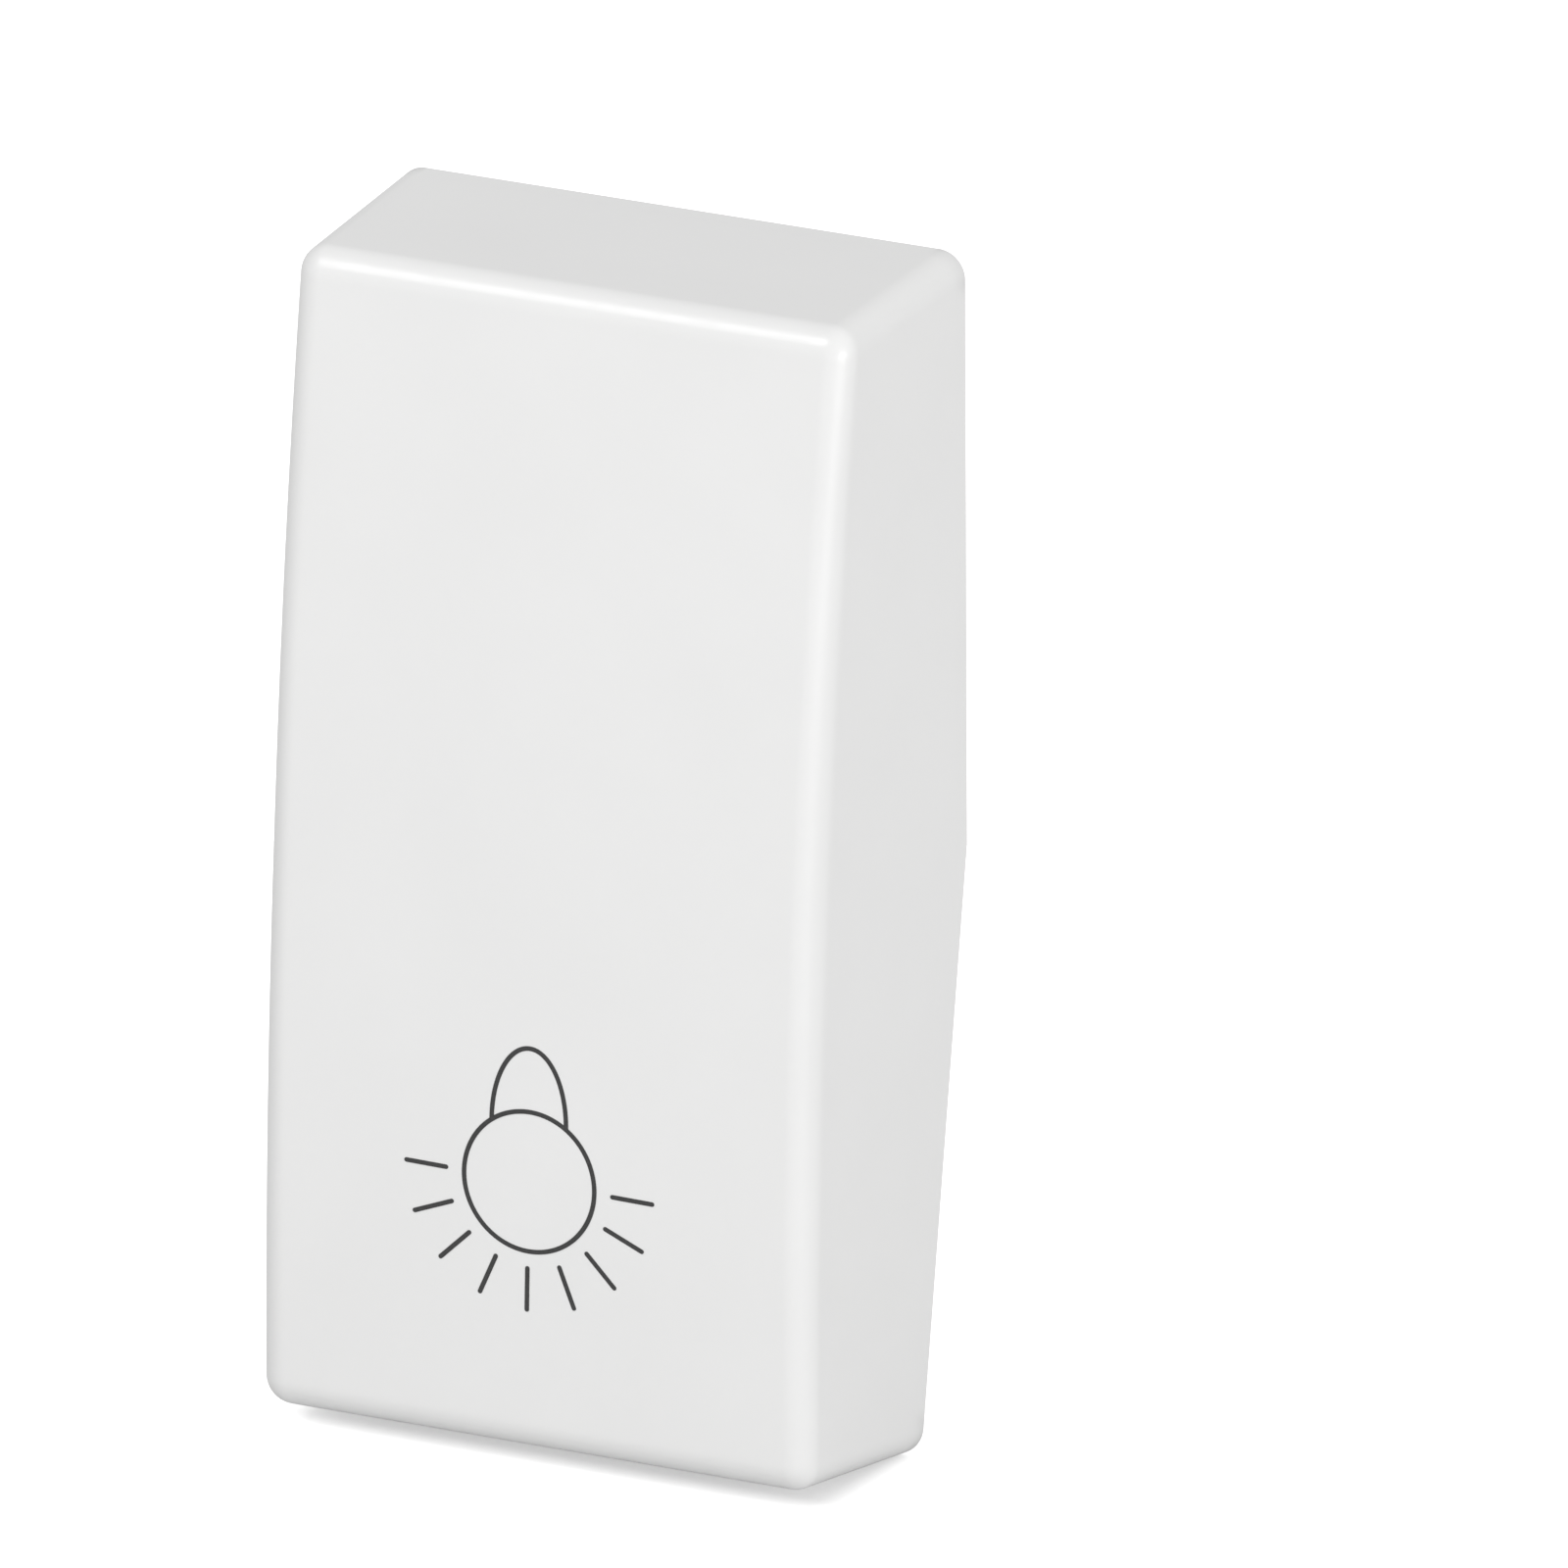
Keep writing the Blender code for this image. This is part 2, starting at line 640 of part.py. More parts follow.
def make_circuit_board():
    sheet = rounded(block(*BOARD_HALF, BOARD_FRONT, BOARD_BACK), BOARD_CORNER)
    board = add_part("circuit_board", mesh_from(sheet, "circuit_board"), "board_green")
    front = BOARD_FRONT - REACH
    back = BOARD_BACK + REACH
    waist_width, waist_height = BOARD_WAIST
    notch = (BOARD_HALF[0] - waist_width) / 2 + REACH / 2
    for side, x in both_sides(waist_width + notch):
        cut(board, block(notch, waist_height, front, back, (x, 0.0)), f"notch_{side}")
    for level, boss_x, boss_z, radius in (
        ("lower", SCREW_X, SCREW_Z, SCREW_BOSS_RADIUS),
        ("upper", STOP_X, STOP_Z, STOP_BOSS_RADIUS),
    ):
        half = radius + SIDE_GAP + REACH / 2
        z = boss_z + math.copysign(REACH / 2, boss_z)
        for side, x in both_sides(boss_x + REACH / 2):
            corner = rounded(block(half, half, front, back, (x, z)), BOARD_CORNER)
            cut(board, corner, f"corner_{level}_{side}")
    return board


def make_coin_cell():
    profile = (
        (0.0, CELL_FRONT),
        (CELL_RADIUS - 4 * CELL_EDGE, CELL_FRONT),
        (CELL_RADIUS - CELL_EDGE, CELL_FRONT + CELL_EDGE),
        (CELL_RADIUS, CELL_FRONT + 3 * CELL_EDGE),
        (CELL_RADIUS, CELL_BACK - 2 * CELL_CRIMP),
        (CELL_RADIUS - CELL_CRIMP, CELL_BACK - CELL_CRIMP),
        (CELL_CAP_RADIUS, CELL_BACK - 2 * CELL_EDGE),
        (CELL_CAP_RADIUS - CELL_EDGE, CELL_BACK),
        (0.0, CELL_BACK),
    )
    cell = turned(profile, 48)
    return add_part("coin_cell", mesh_from(cell, "coin_cell"), "cell_steel", (0, 0, CELL_Z))


def make_battery_contacts():
    middle = (BOARD_FRONT + CELL_BACK) / 2
    leaf_front = middle - CONTACT_SHEET / 2
    leaf = block(*LEAF_HALF, leaf_front, leaf_front + CONTACT_SHEET, (0.0, CELL_Z))
    mesh = mesh_from(rounded(leaf, LEAF_CORNER), "battery_contact_negative")
    add_part("battery_contact_negative", mesh, "contact_nickel")
    foot_back = BOARD_FRONT - SEAT_GAP
    upright_top = CELL_Z - CELL_RADIUS - CONTACT_GAP
    foot_top = upright_top - UPRIGHT_SHEET / 4
    foot = box(
        (-FOOT_HALF_WIDTH, foot_back - UPRIGHT_SHEET, foot_top - FOOT_LENGTH),
        (FOOT_HALF_WIDTH, foot_back, foot_top),
    )
    mesh = mesh_from(foot, "battery_contact_positive")
    contact = add_part("battery_contact_positive", mesh, "contact_nickel")
    upright = box(
        (-UPRIGHT_HALF_WIDTH, CELL_FRONT + CONTACT_GAP, upright_top - UPRIGHT_SHEET),
        (UPRIGHT_HALF_WIDTH, foot_back - UPRIGHT_SHEET / 2, upright_top),
    )
    join(contact, upright, "upright")


def make_chip(name, x, z, size, material):
    width, height, thickness = (side * MM for side in size)
    back = BOARD_FRONT - SEAT_GAP
    chip = block(width / 2, height / 2, back - thickness, back, (x * MM, z * MM))
    add_part(name, mesh_from(softened(chip, CHIP_BEVEL), name), material)


def make_small_board_parts():
    for name, x, z, width, height, thickness, material in CHIP_PARTS:
        make_chip(name, x, z, (width, height, thickness), material)
    for i, (x, z) in enumerate(CAPACITOR_PLACES, 1):
        make_chip(f"capacitor_{i}", x, z, CAPACITOR_SIZE, "capacitor_tan")
    for i, (x, z) in enumerate(RESISTOR_PLACES, 1):
        make_chip(f"resistor_{i}", x, z, RESISTOR_SIZE, "resistor_black")


# ---------------------------------------------------------------- switches


def make_key_switch():
    place = (0.0, SWITCH_Z)
    foot = BOARD_FRONT - SEAT_GAP
    shell = rounded(block(SWITCH_HALF, SWITCH_HALF, SWITCH_FRONT, foot, place), SWITCH_CORNER)
    body = add_part("switch_body", mesh_from(shell, "switch_body"), "switch_black")
    cut(body, disc(SWITCH_WELL_RADIUS, SWITCH_FRONT - REACH, SWITCH_WELL, place), "well")
    plate_half = SWITCH_HALF - SEAT_GAP
    plate_back = SWITCH_FRONT - SEAT_GAP
    sheet = block(plate_half, plate_half, SWITCH_PLATE_FRONT, plate_back, place)
    plate_mesh = mesh_from(rounded(sheet, SWITCH_CORNER), "switch_plate")
    plate = add_part("switch_plate", plate_mesh, "contact_nickel")
    hole = disc(SWITCH_PLATE_RADIUS, SWITCH_PLATE_FRONT - REACH, plate_back + REACH, place)
    cut(plate, hole, "hole")
    flange_front, flange_back = PLUNGER_FLANGE_Y
    profile = (
        (0.0, PLUNGER_FRONT),
        (PLUNGER_RADIUS - PLUNGER_EDGE, PLUNGER_FRONT),
        (PLUNGER_RADIUS, PLUNGER_FRONT + PLUNGER_EDGE),
        (PLUNGER_RADIUS, flange_front),
        (PLUNGER_FLANGE, flange_front),
        (PLUNGER_FLANGE, flange_back),
        (0.0, flange_back),
    )
    plunger_mesh = mesh_from(turned(profile, 24), "switch_plunger")
    plunger = add_part("switch_plunger", plunger_mesh, "plunger_white", (0, 0, SWITCH_Z))
    arc = [
        (DOME_RADIUS * i / DOME_STEPS, DOME_RIM - DOME_RISE * (1 - (i / DOME_STEPS) ** 2))
        for i in range(DOME_STEPS + 1)
    ]
    under = [(radius, y + DOME_SHEET) for radius, y in arc[-2::-1]]
    dome_mesh = mesh_from(turned(arc + under, 24), "switch_dome")
    add_part("switch_dome", dome_mesh, "contact_nickel", (0, 0, SWITCH_Z))
    return plunger


def make_pairing_switch():
    place = (PAIRING_X, PAIRING_Z)
    foot = BOARD_FRONT - SEAT_GAP
    shell = block(PAIRING_HALF, PAIRING_HALF, PAIRING_FRONT, foot, place)
    shell_mesh = mesh_from(rounded(shell, PAIRING_CORNER), "pairing_switch_body")
    body = add_part("pairing_switch_body", shell_mesh, "switch_black")
    well_radius = PAIRING_BUTTON_RADIUS + SIDE_GAP
    cut(body, disc(well_radius, PAIRING_FRONT - REACH, PAIRING_WELL, place, 16), "well")
    profile = (
        (0.0, PAIRING_BUTTON_FRONT),
        (PAIRING_BUTTON_RADIUS - PAIRING_BUTTON_EDGE, PAIRING_BUTTON_FRONT),
        (PAIRING_BUTTON_RADIUS, PAIRING_BUTTON_FRONT + PAIRING_BUTTON_EDGE),
        (PAIRING_BUTTON_RADIUS, PAIRING_BUTTON_BACK),
        (0.0, PAIRING_BUTTON_BACK),
    )
    mesh = mesh_from(turned(profile, 20), "pairing_button")
    return add_part("pairing_button", mesh, "plunger_white", (PAIRING_X, 0, PAIRING_Z))


# ---------------------------------------------------------------- cover, screws, spring


def make_board_cover():
    half_width = HOUSING_HALF[0] - HOUSING_WALL - COVER_GAP
    waist_width = WAIST_HALF_WIDTH - HOUSING_WALL - COVER_GAP
    low_z = -(HOUSING_HALF[1] - HOUSING_WALL) + SIDE_GAP
    middle = (low_z + COVER_TOP_Z) / 2
    sheet = block(
        half_width, (COVER_TOP_Z - low_z) / 2, HOUSING_FRONT, COVER_BACK, (0.0, middle)
    )
    mesh = mesh_from(rounded(sheet, COVER_CORNER), "board_cover")
    cover = add_part("board_cover", mesh, "cover_grey")
    front = HOUSING_FRONT - REACH
    back = COVER_BACK + REACH
    notch = (half_width - waist_width) / 2 + REACH / 2
    top_half = WAIST_HALF_HEIGHT + HOUSING_WALL + SIDE_GAP
    for side, x in both_sides(waist_width + notch):
        cut(cover, block(notch, top_half, front, back, (x, 0.0)), f"waist_{side}")
    inside = COVER_BACK - SIDE_GAP
    join(cover, disc(CUP_OUTER, inside, CUP_BACK, (0.0, SPRING_Z), 32), "cup")
    cut(cover, disc(CUP_INNER, front, CUP_FLOOR, (0.0, SPRING_Z), 32), "cup_bore")
    for side, x in both_sides(SCREW_X):
        place = (x, SCREW_Z)
        join(cover, disc(SCREW_SEAT_RADIUS, inside, SCREW_SEAT_BACK, place), f"seat_{side}")
        head_room = disc(SCREW_HEAD_RADIUS + SEAT_GAP, front, SCREW_SEAT_Y, place)
        cut(cover, head_room, f"counterbore_{side}")
        shank_room = disc(SCREW_RADIUS + SEAT_GAP, front, SCREW_SEAT_BACK + REACH, place)
        cut(cover, shank_room, f"screw_hole_{side}")
    cut(cover, disc(NUB_HOLE, front, back, (0.0, SWITCH_Z)), "nub_hole")
    button_hole = disc(PAIRING_BUTTON_RADIUS + SIDE_GAP, front, back, (PAIRING_X, PAIRING_Z), 16)
    cut(cover, button_hole, "button_hole")
    cut(cover, disc(LED_WINDOW, front, back, (-PAIRING_X, PAIRING_Z), 16), "led_window")
    return cover


def make_cover_screws():
    """Pan-head screws with a cross recess."""
    dome = [
        (SCREW_HEAD_RADIUS * math.sin(angle), SCREW_HEAD_DOME * (1 - math.cos(angle)))
        for angle in map(math.radians, (0, 35, 65, 90))
    ]
    profile = [(radius, SCREW_HEAD_FRONT + depth) for radius, depth in dome] + [
        (SCREW_HEAD_RADIUS, SCREW_HEAD_BACK),
        (SCREW_RADIUS, SCREW_HEAD_BACK),
        (SCREW_RADIUS, SCREW_END - SCREW_POINT),
        (SCREW_RADIUS / 2, SCREW_END),
        (0.0, SCREW_END),
    ]
    arms = (
        ("wide", RECESS_HALF_LENGTH, RECESS_HALF_WIDTH),
        ("tall", RECESS_HALF_WIDTH, RECESS_HALF_LENGTH),
    )
    for side, x in both_sides(SCREW_X):
        name = f"cover_screw_{side}"
        mesh = mesh_from(turned(profile, 20), name)
        screw = add_part(name, mesh, "screw_steel", (x, 0, SCREW_Z))
        front = SCREW_HEAD_FRONT - REACH
        back = SCREW_HEAD_FRONT + RECESS_DEPTH
        for arm, half_width, half_height in arms:
            cut(screw, block(half_width, half_height, front, back, (x, SCREW_Z)), arm)


def make_return_spring():
    start = CUP_FLOOR - SEAT_GAP - SPRING_WIRE
    end = CRADLE_BACK + SEAT_GAP + SPRING_WIRE
    curve = bpy.data.curves.new("return_spring", "CURVE")
    curve.dimensions = "3D"
    curve.bevel_depth = SPRING_WIRE
    curve.bevel_resolution = 2
    curve.use_fill_caps = True
    count = SPRING_TURNS * SPRING_POINTS_PER_TURN + 1
    spline = curve.splines.new("POLY")
    spline.points.add(count - 1)
    for i, point in enumerate(spline.points):
        turn = i / SPRING_POINTS_PER_TURN
        angle = 2 * math.pi * turn
        free_turns = SPRING_TURNS - 2 * SPRING_CLOSED_COILS
        share = min(max((turn - SPRING_CLOSED_COILS) / free_turns, 0.0), 1.0)
        low = start - SPRING_CLOSED_PITCH * min(turn, SPRING_CLOSED_COILS)
        high = end + SPRING_CLOSED_PITCH * min(SPRING_TURNS - turn, SPRING_CLOSED_COILS)
        y = low + (high - low) * share
        x = SPRING_RADIUS * math.cos(angle)
        z = SPRING_RADIUS * math.sin(angle)
        point.co = (x, y, z, 1.0)
    add_part("return_spring", curve, "spring_steel", (0, 0, SPRING_Z))


def make_stop_pads():
    profile = (
        (0.0, CRADLE_BACK + SEAT_GAP),
        (STOP_RADIUS - STOP_CHAMFER[0], CRADLE_BACK + SEAT_GAP),
        (STOP_RADIUS, CRADLE_BACK + SEAT_GAP + STOP_CHAMFER[1]),
        (STOP_RADIUS, HOUSING_FRONT - SEAT_GAP),
        (STOP_STEM_RADIUS, HOUSING_FRONT - SEAT_GAP),
        (STOP_STEM_RADIUS, STOP_STEM_BACK),
        (0.0, STOP_STEM_BACK),
    )
    for side, x in both_sides(STOP_X):
        name = f"stop_pad_{side}"
        add_part(name, mesh_from(turned(profile, 20), name), "silicone_clear", (x, 0, STOP_Z))


def make_pivot_pins():
    for side, sign in (("left", -1), ("right", 1)):
        shaft_inner_x = PIN_INNER_X + PIN_HEAD_OVERLAP
        shaft = rod(PIN_RADIUS, sign * shaft_inner_x, sign * PIN_OUTER_X, PIVOT_Y)
        name = f"pivot_pin_{side}"
        pin = add_part(name, mesh_from(shaft, name), "pin_steel")
        head = rod(PIN_HEAD_RADIUS, sign * PIN_INNER_X, sign * PIN_SHOULDER_X, PIVOT_Y)
        join(pin, head, "head")


# ---------------------------------------------------------------- assembly


def axis_empty(name, location, parent=None):
    empty = bpy.data.objects.new(name, None)
    empty.location = location
    empty.empty_display_size = 3 * MM
    PARTS.objects.link(empty)
    if parent:
        hang(empty, parent)
    bpy.context.view_layer.update()
    return empty


def hang(child, parent):
    bpy.context.view_layer.update()
    child.parent = parent
    child.matrix_parent_inverse = parent.matrix_world.inverted()


def assemble():
    """Everything but the wall plate and its pad lifts off; the cradle rocks on the pins;
    the key pulls off the cradle; the two switch buttons slide."""
    make_wall_plate()
    make_adhesive_pad()
    module = axis_empty("module_release_axis", (0, HOUSING_FLOOR, 0))
    key = make_rocker_key()
    cradle = make_rocker_cradle()
    plunger = make_key_switch()
    button = make_pairing_switch()
    make_base_housing()
    make_circuit_board()
    make_coin_cell()
    make_battery_contacts()
    make_small_board_parts()
    make_board_cover()
    make_cover_screws()
    make_return_spring()
    make_stop_pads()
    make_pivot_pins()
    rock = axis_empty("key_rock_axis", (0, PIVOT_Y, 0), module)
    pull = axis_empty("key_pull_off_axis", (0, CRADLE_FRONT, 0), rock)
    press = axis_empty("plunger_press_axis", (0, PLUNGER_FRONT, SWITCH_Z), module)
    pair = axis_empty("pairing_press_axis", (PAIRING_X, PAIRING_BUTTON_FRONT, PAIRING_Z), module)
    hang(cradle, rock)
    hang(key, pull)
    hang(plunger, press)
    hang(button, pair)
    fixed = ("wall_plate", "adhesive_pad")
    for obj in PARTS.objects:
        if obj.parent is None and obj is not module and obj.name not in fixed:
            hang(obj, module)


assemble()
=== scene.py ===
"""The looks of a slim one-module wall push-button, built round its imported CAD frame.

Metres, +Z up. The key's face looks towards -Y, and Y = 0 is the wall.
"""

import json
import math

import bmesh
import bpy
from mathutils import Matrix, Vector


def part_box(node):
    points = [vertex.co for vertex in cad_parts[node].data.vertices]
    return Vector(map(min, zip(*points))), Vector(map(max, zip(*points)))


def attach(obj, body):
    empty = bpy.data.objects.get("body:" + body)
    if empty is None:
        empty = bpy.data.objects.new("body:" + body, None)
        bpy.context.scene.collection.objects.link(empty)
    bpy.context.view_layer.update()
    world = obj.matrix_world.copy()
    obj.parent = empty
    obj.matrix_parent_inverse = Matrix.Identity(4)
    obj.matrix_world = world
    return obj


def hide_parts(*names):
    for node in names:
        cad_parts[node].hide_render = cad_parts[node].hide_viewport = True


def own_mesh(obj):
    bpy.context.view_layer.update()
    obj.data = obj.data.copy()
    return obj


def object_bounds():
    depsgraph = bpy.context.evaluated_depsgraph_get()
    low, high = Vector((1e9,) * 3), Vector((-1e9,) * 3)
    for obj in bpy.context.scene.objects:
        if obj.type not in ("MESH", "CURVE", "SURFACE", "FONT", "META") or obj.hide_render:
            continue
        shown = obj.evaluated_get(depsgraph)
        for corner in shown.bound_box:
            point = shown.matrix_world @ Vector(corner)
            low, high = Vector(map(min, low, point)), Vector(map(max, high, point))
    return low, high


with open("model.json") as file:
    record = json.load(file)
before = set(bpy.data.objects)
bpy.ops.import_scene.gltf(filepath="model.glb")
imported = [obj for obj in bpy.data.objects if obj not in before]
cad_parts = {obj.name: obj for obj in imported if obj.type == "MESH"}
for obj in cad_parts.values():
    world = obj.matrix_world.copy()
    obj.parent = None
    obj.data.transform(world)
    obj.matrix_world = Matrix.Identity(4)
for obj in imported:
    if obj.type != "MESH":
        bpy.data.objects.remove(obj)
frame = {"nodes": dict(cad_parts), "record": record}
cad_low, cad_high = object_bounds()

MM = 0.001

# ---------------------------------------------------------------- dimensions

# Rocker key: the outer form, its wall, its ribs and its pegs
FACE_WIDTH = 21.67 * MM
FACE_HEIGHT = 42.85 * MM
FACE_Y = -12.25 * MM
CROWN = 1.07 * MM
DEPTH_AT_MIDDLE = 11.0 * MM
DEPTH_AT_ENDS = 9.1 * MM
SIDE_DRAFT = math.radians(1.65)
END_DRAFT = math.radians(5.65)
EDGE_RADIUS = 1.0 * MM
INNER_RADIUS = 0.35 * MM
KEY_WALL = 1.2 * MM
KEY_FACE_WALL = 1.25 * MM
KEY_SLICES = 72
KEY_FILLET_SEGMENTS = 14
INNER_FILLET_SEGMENTS = 4
INNER_SLICES = 24
KEY_SUPPORT = 0.12 * MM
RIM_SOFTENING = 0.07 * MM
RIB_WIDTH = 0.8 * MM
RIB_X = 4.5 * MM
RIB_Z = 12.0 * MM
RIB_FRONT = -12.3 * MM
RIB_BACK = -10.75 * MM
LEVEL_RIB_BACK = -10.85 * MM
PEG_RADIUS = 0.65 * MM
PEG_SIDES = 40
PEG_X = 8.0 * MM
PEG_Z = 18.6 * MM
PEG_BACK = -9.75 * MM

# Lamp symbol printed on the key
LAMP_X = -0.13 * MM
LAMP_Z = -11.27 * MM
LAMP_HALF_WIDTH = 2.56 * MM
LAMP_HALF_HEIGHT = 2.62 * MM
SOCKET_X = -0.17 * MM
SOCKET_HALF_WIDTH = 1.46 * MM
SOCKET_FOOT = 2.2 * MM
SOCKET_HEIGHT = 2.79 * MM
RAY_INNER = 3.27 * MM
RAY_OUTER = 4.83 * MM
RAY_COUNT = 9
RAY_TILT = math.radians(-0.8)
STROKE = 0.172 * MM
INK_PROUD = 0.012 * MM
INK_SUNK = 0.03 * MM

# Hidden pieces that are drawn more finely than their CAD solids
SPRING_Z = -14.2 * MM
SPRING_RADIUS = 1.4 * MM
SPRING_WIRE = 0.17 * MM
SPRING_TURNS = 6
SPRING_STEPS = 40
SPRING_SIDES = 12
SPRING_END_PITCH = 2.2 * SPRING_WIRE
DOME_RIM_Y = -4.94 * MM
DOME_SHEET = 0.08 * MM

# Coin cell: its rounded front edge, the sunk middle of its front with the insets between
# which it rises to the rim, its crimp as (inset, distance from the back), its plus mark
CELL_CORNER = 0.3 * MM
CELL_SEGMENTS = 160
CELL_SUNK = 0.04 * MM
CELL_RISE = (1.5 * MM, 1.35 * MM)
CELL_CRIMP = (
    (0.0, 0.55 * MM),
    (0.1 * MM, 0.42 * MM),
    (0.45 * MM, 0.32 * MM),
    (0.8 * MM, 0.3 * MM),
    (0.9 * MM, 0.25 * MM),
    (1.05 * MM, 0.0),
)
PLUS_ARM = 1.1 * MM
PLUS_HALF = 0.14 * MM
PLUS_THICK = 0.02 * MM
PLUS_BACK = 0.05 * MM
PLUS_UP = 3.4 * MM

# Tinned ends of the chip components
SOLDER_CAPS = {"capacitor": 0.28 * MM, "resistor": 0.26 * MM, "chip_antenna": 0.5 * MM}
SOLDER_PROUD = 0.02 * MM
SOLDER_SOFT = 0.04 * MM

# Degrees: edges sharper than these stay sharp in the shading, and are bevelled
SHARP_ANGLE = 35
BEVEL_ANGLE = 40

# Metres: CAD vertices nearer than WELD are one, and HAIR is as good as nothing
WELD = 1e-6
HAIR = 1e-7
FLAT_WITHIN = math.radians(0.5)

# ---------------------------------------------------------------- camera

LENS_MM = 900.0
SENSOR_MM = 36.0
CAMERA_AZIMUTH = math.radians(24.508)
CAMERA_ELEVATION = math.radians(16.376)
CAMERA_ROLL = math.radians(2.011)
CAMERA_DISTANCE = 1392.41 * MM
CAMERA_AIM = Vector((5.643, -5.087, 2.359)) * MM
CLIP_START = 0.05
CLIP_END = 20.0


def make_camera():
    """A long lens to the right of the key and a little above it."""
    azimuth, elevation = CAMERA_AZIMUTH, CAMERA_ELEVATION
    across = math.cos(elevation)
    back = Vector(
        (math.sin(azimuth) * across, -math.cos(azimuth) * across, math.sin(elevation))
    )
    level = Vector((math.cos(azimuth), math.sin(azimuth), 0.0))
    raised = back.cross(level)
    right = math.cos(CAMERA_ROLL) * level + math.sin(CAMERA_ROLL) * raised
    up = math.cos(CAMERA_ROLL) * raised - math.sin(CAMERA_ROLL) * level
    data = bpy.data.cameras.new("camera")
    data.lens = LENS_MM
    data.sensor_width = SENSOR_MM
    data.clip_start = CLIP_START
    data.clip_end = CLIP_END
    camera = bpy.data.objects.new("camera", data)
    turn = Matrix((right, up, back)).transposed()
    place = Matrix.Translation(CAMERA_AIM + back * CAMERA_DISTANCE)
    camera.matrix_world = place @ turn.to_4x4()
    bpy.context.scene.collection.objects.link(camera)
    bpy.context.scene.camera = camera


# ---------------------------------------------------------------- light and floor

# name: direction it comes from, width (m), height (m), power (W)
SOFTBOXES = {
    "key_left": ((-0.40, -0.61, 0.68), 0.22, 0.22, 1.65),
    "front_right": ((0.76, -0.63, 0.14), 0.48, 0.28, 3.5),
}
SOFTBOX_DISTANCE = 0.9
AMBIENT = 0.7

# The floor's glow is full beyond the fade distance from a rectangle, the object's footprint
# less the inset on each side, and falls to the given share inside it: a contact shadow painted
# into the floor's glow
FLOOR_GLOW = 0.9
FLOOR_ALBEDO = 0.7
FLOOR_SIZE = 3.0
FLOOR_GAP = 0.02 * MM
PAINTED_SHADOW_INSET = Vector((1.2, 3.9, 0)) * MM
PAINTED_SHADOW_FADE = 2.4 * MM
PAINTED_SHADOW_GLOW_SHARE = 0.5


def make_light():
    """Two softboxes in a white room, with tones kept as they are lit."""
    for name, (direction, width, height, power) in SOFTBOXES.items():
        data = bpy.data.lights.new(f"softbox_{name}", "AREA")
        data.shape = "RECTANGLE"
        data.size = width
        data.size_y = height
        data.energy = power
        lamp = bpy.data.objects.new(f"softbox_{name}", data)
        aim = Vector(direction).normalized()
        lamp.location = aim * SOFTBOX_DISTANCE
        lamp.rotation_euler = aim.to_track_quat("Z", "Y").to_euler()
        lamp.visible_camera = False
        bpy.context.scene.collection.objects.link(lamp)
    world = bpy.data.worlds.new("studio")
    world.use_nodes = True
    background = world.node_tree.nodes["Background"]
    background.inputs["Color"].default_value = (1, 1, 1, 1)
    background.inputs["Strength"].default_value = AMBIENT
    bpy.context.scene.world = world
    bpy.context.scene.view_settings.view_transform = "Standard"


def link_floor_glow_and_painted_shadow(tree, shader):
    """The glow's strength, from how far a point is outside the object's footprint: lower near
    and under it, a painted contact shadow.
    """
    middle = (cad_low + cad_high) / 2
    half = (cad_high - cad_low) / 2 - PAINTED_SHADOW_INSET
    steps = (
        ("SUBTRACT", (middle.x, middle.y, 0)),
        ("ABSOLUTE", None),
        ("SUBTRACT", (half.x, half.y, 0)),
        ("MAXIMUM", (0, 0, 0)),
    )
    place = tree.nodes.new("ShaderNodeTexCoord").outputs["Object"]
    for operation, operand in steps:
        node = tree.nodes.new("ShaderNodeVectorMath")
        node.operation = operation
        if operand:
            node.inputs[1].default_value = operand
        tree.links.new(place, node.inputs[0])
        place = node.outputs["Vector"]
    outside = tree.nodes.new("ShaderNodeVectorMath")
    outside.operation = "LENGTH"
    tree.links.new(place, outside.inputs[0])
    # Painted contact shadow: the glow drops to a share of itself near and under the footprint
    glow_with_painted_shadow = tree.nodes.new("ShaderNodeMapRange")
    glow_with_painted_shadow.interpolation_type = "SMOOTHSTEP"
    glow_with_painted_shadow.inputs["From Min"].default_value = 0.0
    glow_with_painted_shadow.inputs["From Max"].default_value = PAINTED_SHADOW_FADE
    glow_with_painted_shadow.inputs["To Min"].default_value = FLOOR_GLOW * PAINTED_SHADOW_GLOW_SHARE
    glow_with_painted_shadow.inputs["To Max"].default_value = FLOOR_GLOW
    tree.links.new(outside.outputs["Value"], glow_with_painted_shadow.inputs["Value"])
    tree.links.new(glow_with_painted_shadow.outputs["Result"], shader.inputs["Emission Strength"])


def make_floor():
    """A white floor whose glow fades under the object, a painted contact shadow, and falls on
    the floor alone.
    """
    mesh = bpy.data.meshes.new("floor")
    bm = bmesh.new()
    bmesh.ops.create_grid(bm, x_segments=1, y_segments=1, size=FLOOR_SIZE / 2)
    bm.to_mesh(mesh)
    bm.free()
    floor = bpy.data.objects.new("floor", mesh)
    floor.location = (0, 0, cad_low.z - FLOOR_GAP)
    bpy.context.scene.collection.objects.link(floor)
    material = bpy.data.materials.new("floor_white")
    material.use_nodes = True
    shader = material.node_tree.nodes["Principled BSDF"]
    shader.inputs["Base Color"].default_value = (*[FLOOR_ALBEDO] * 3, 1)
    shader.inputs["Roughness"].default_value = 1.0
    shader.inputs["Specular IOR Level"].default_value = 0.0
    shader.inputs["Emission Color"].default_value = (1, 1, 1, 1)
    link_floor_glow_and_painted_shadow(material.node_tree, shader)
    mesh.materials.append(material)
    glow_falls_on = bpy.data.collections.new("floor_glow_falls_on")
    glow_falls_on.objects.link(floor)
    floor.light_linking.receiver_collection = glow_falls_on


# ---------------------------------------------------------------- materials

NOISE_LOW = 0.3
NOISE_HIGH = 0.7
PORE = 0.35 * MM
PORE_DEPTH = 0.05 * MM
WEAVE = 3.2 * MM
WEAVE_DEPTH = 0.004 * MM


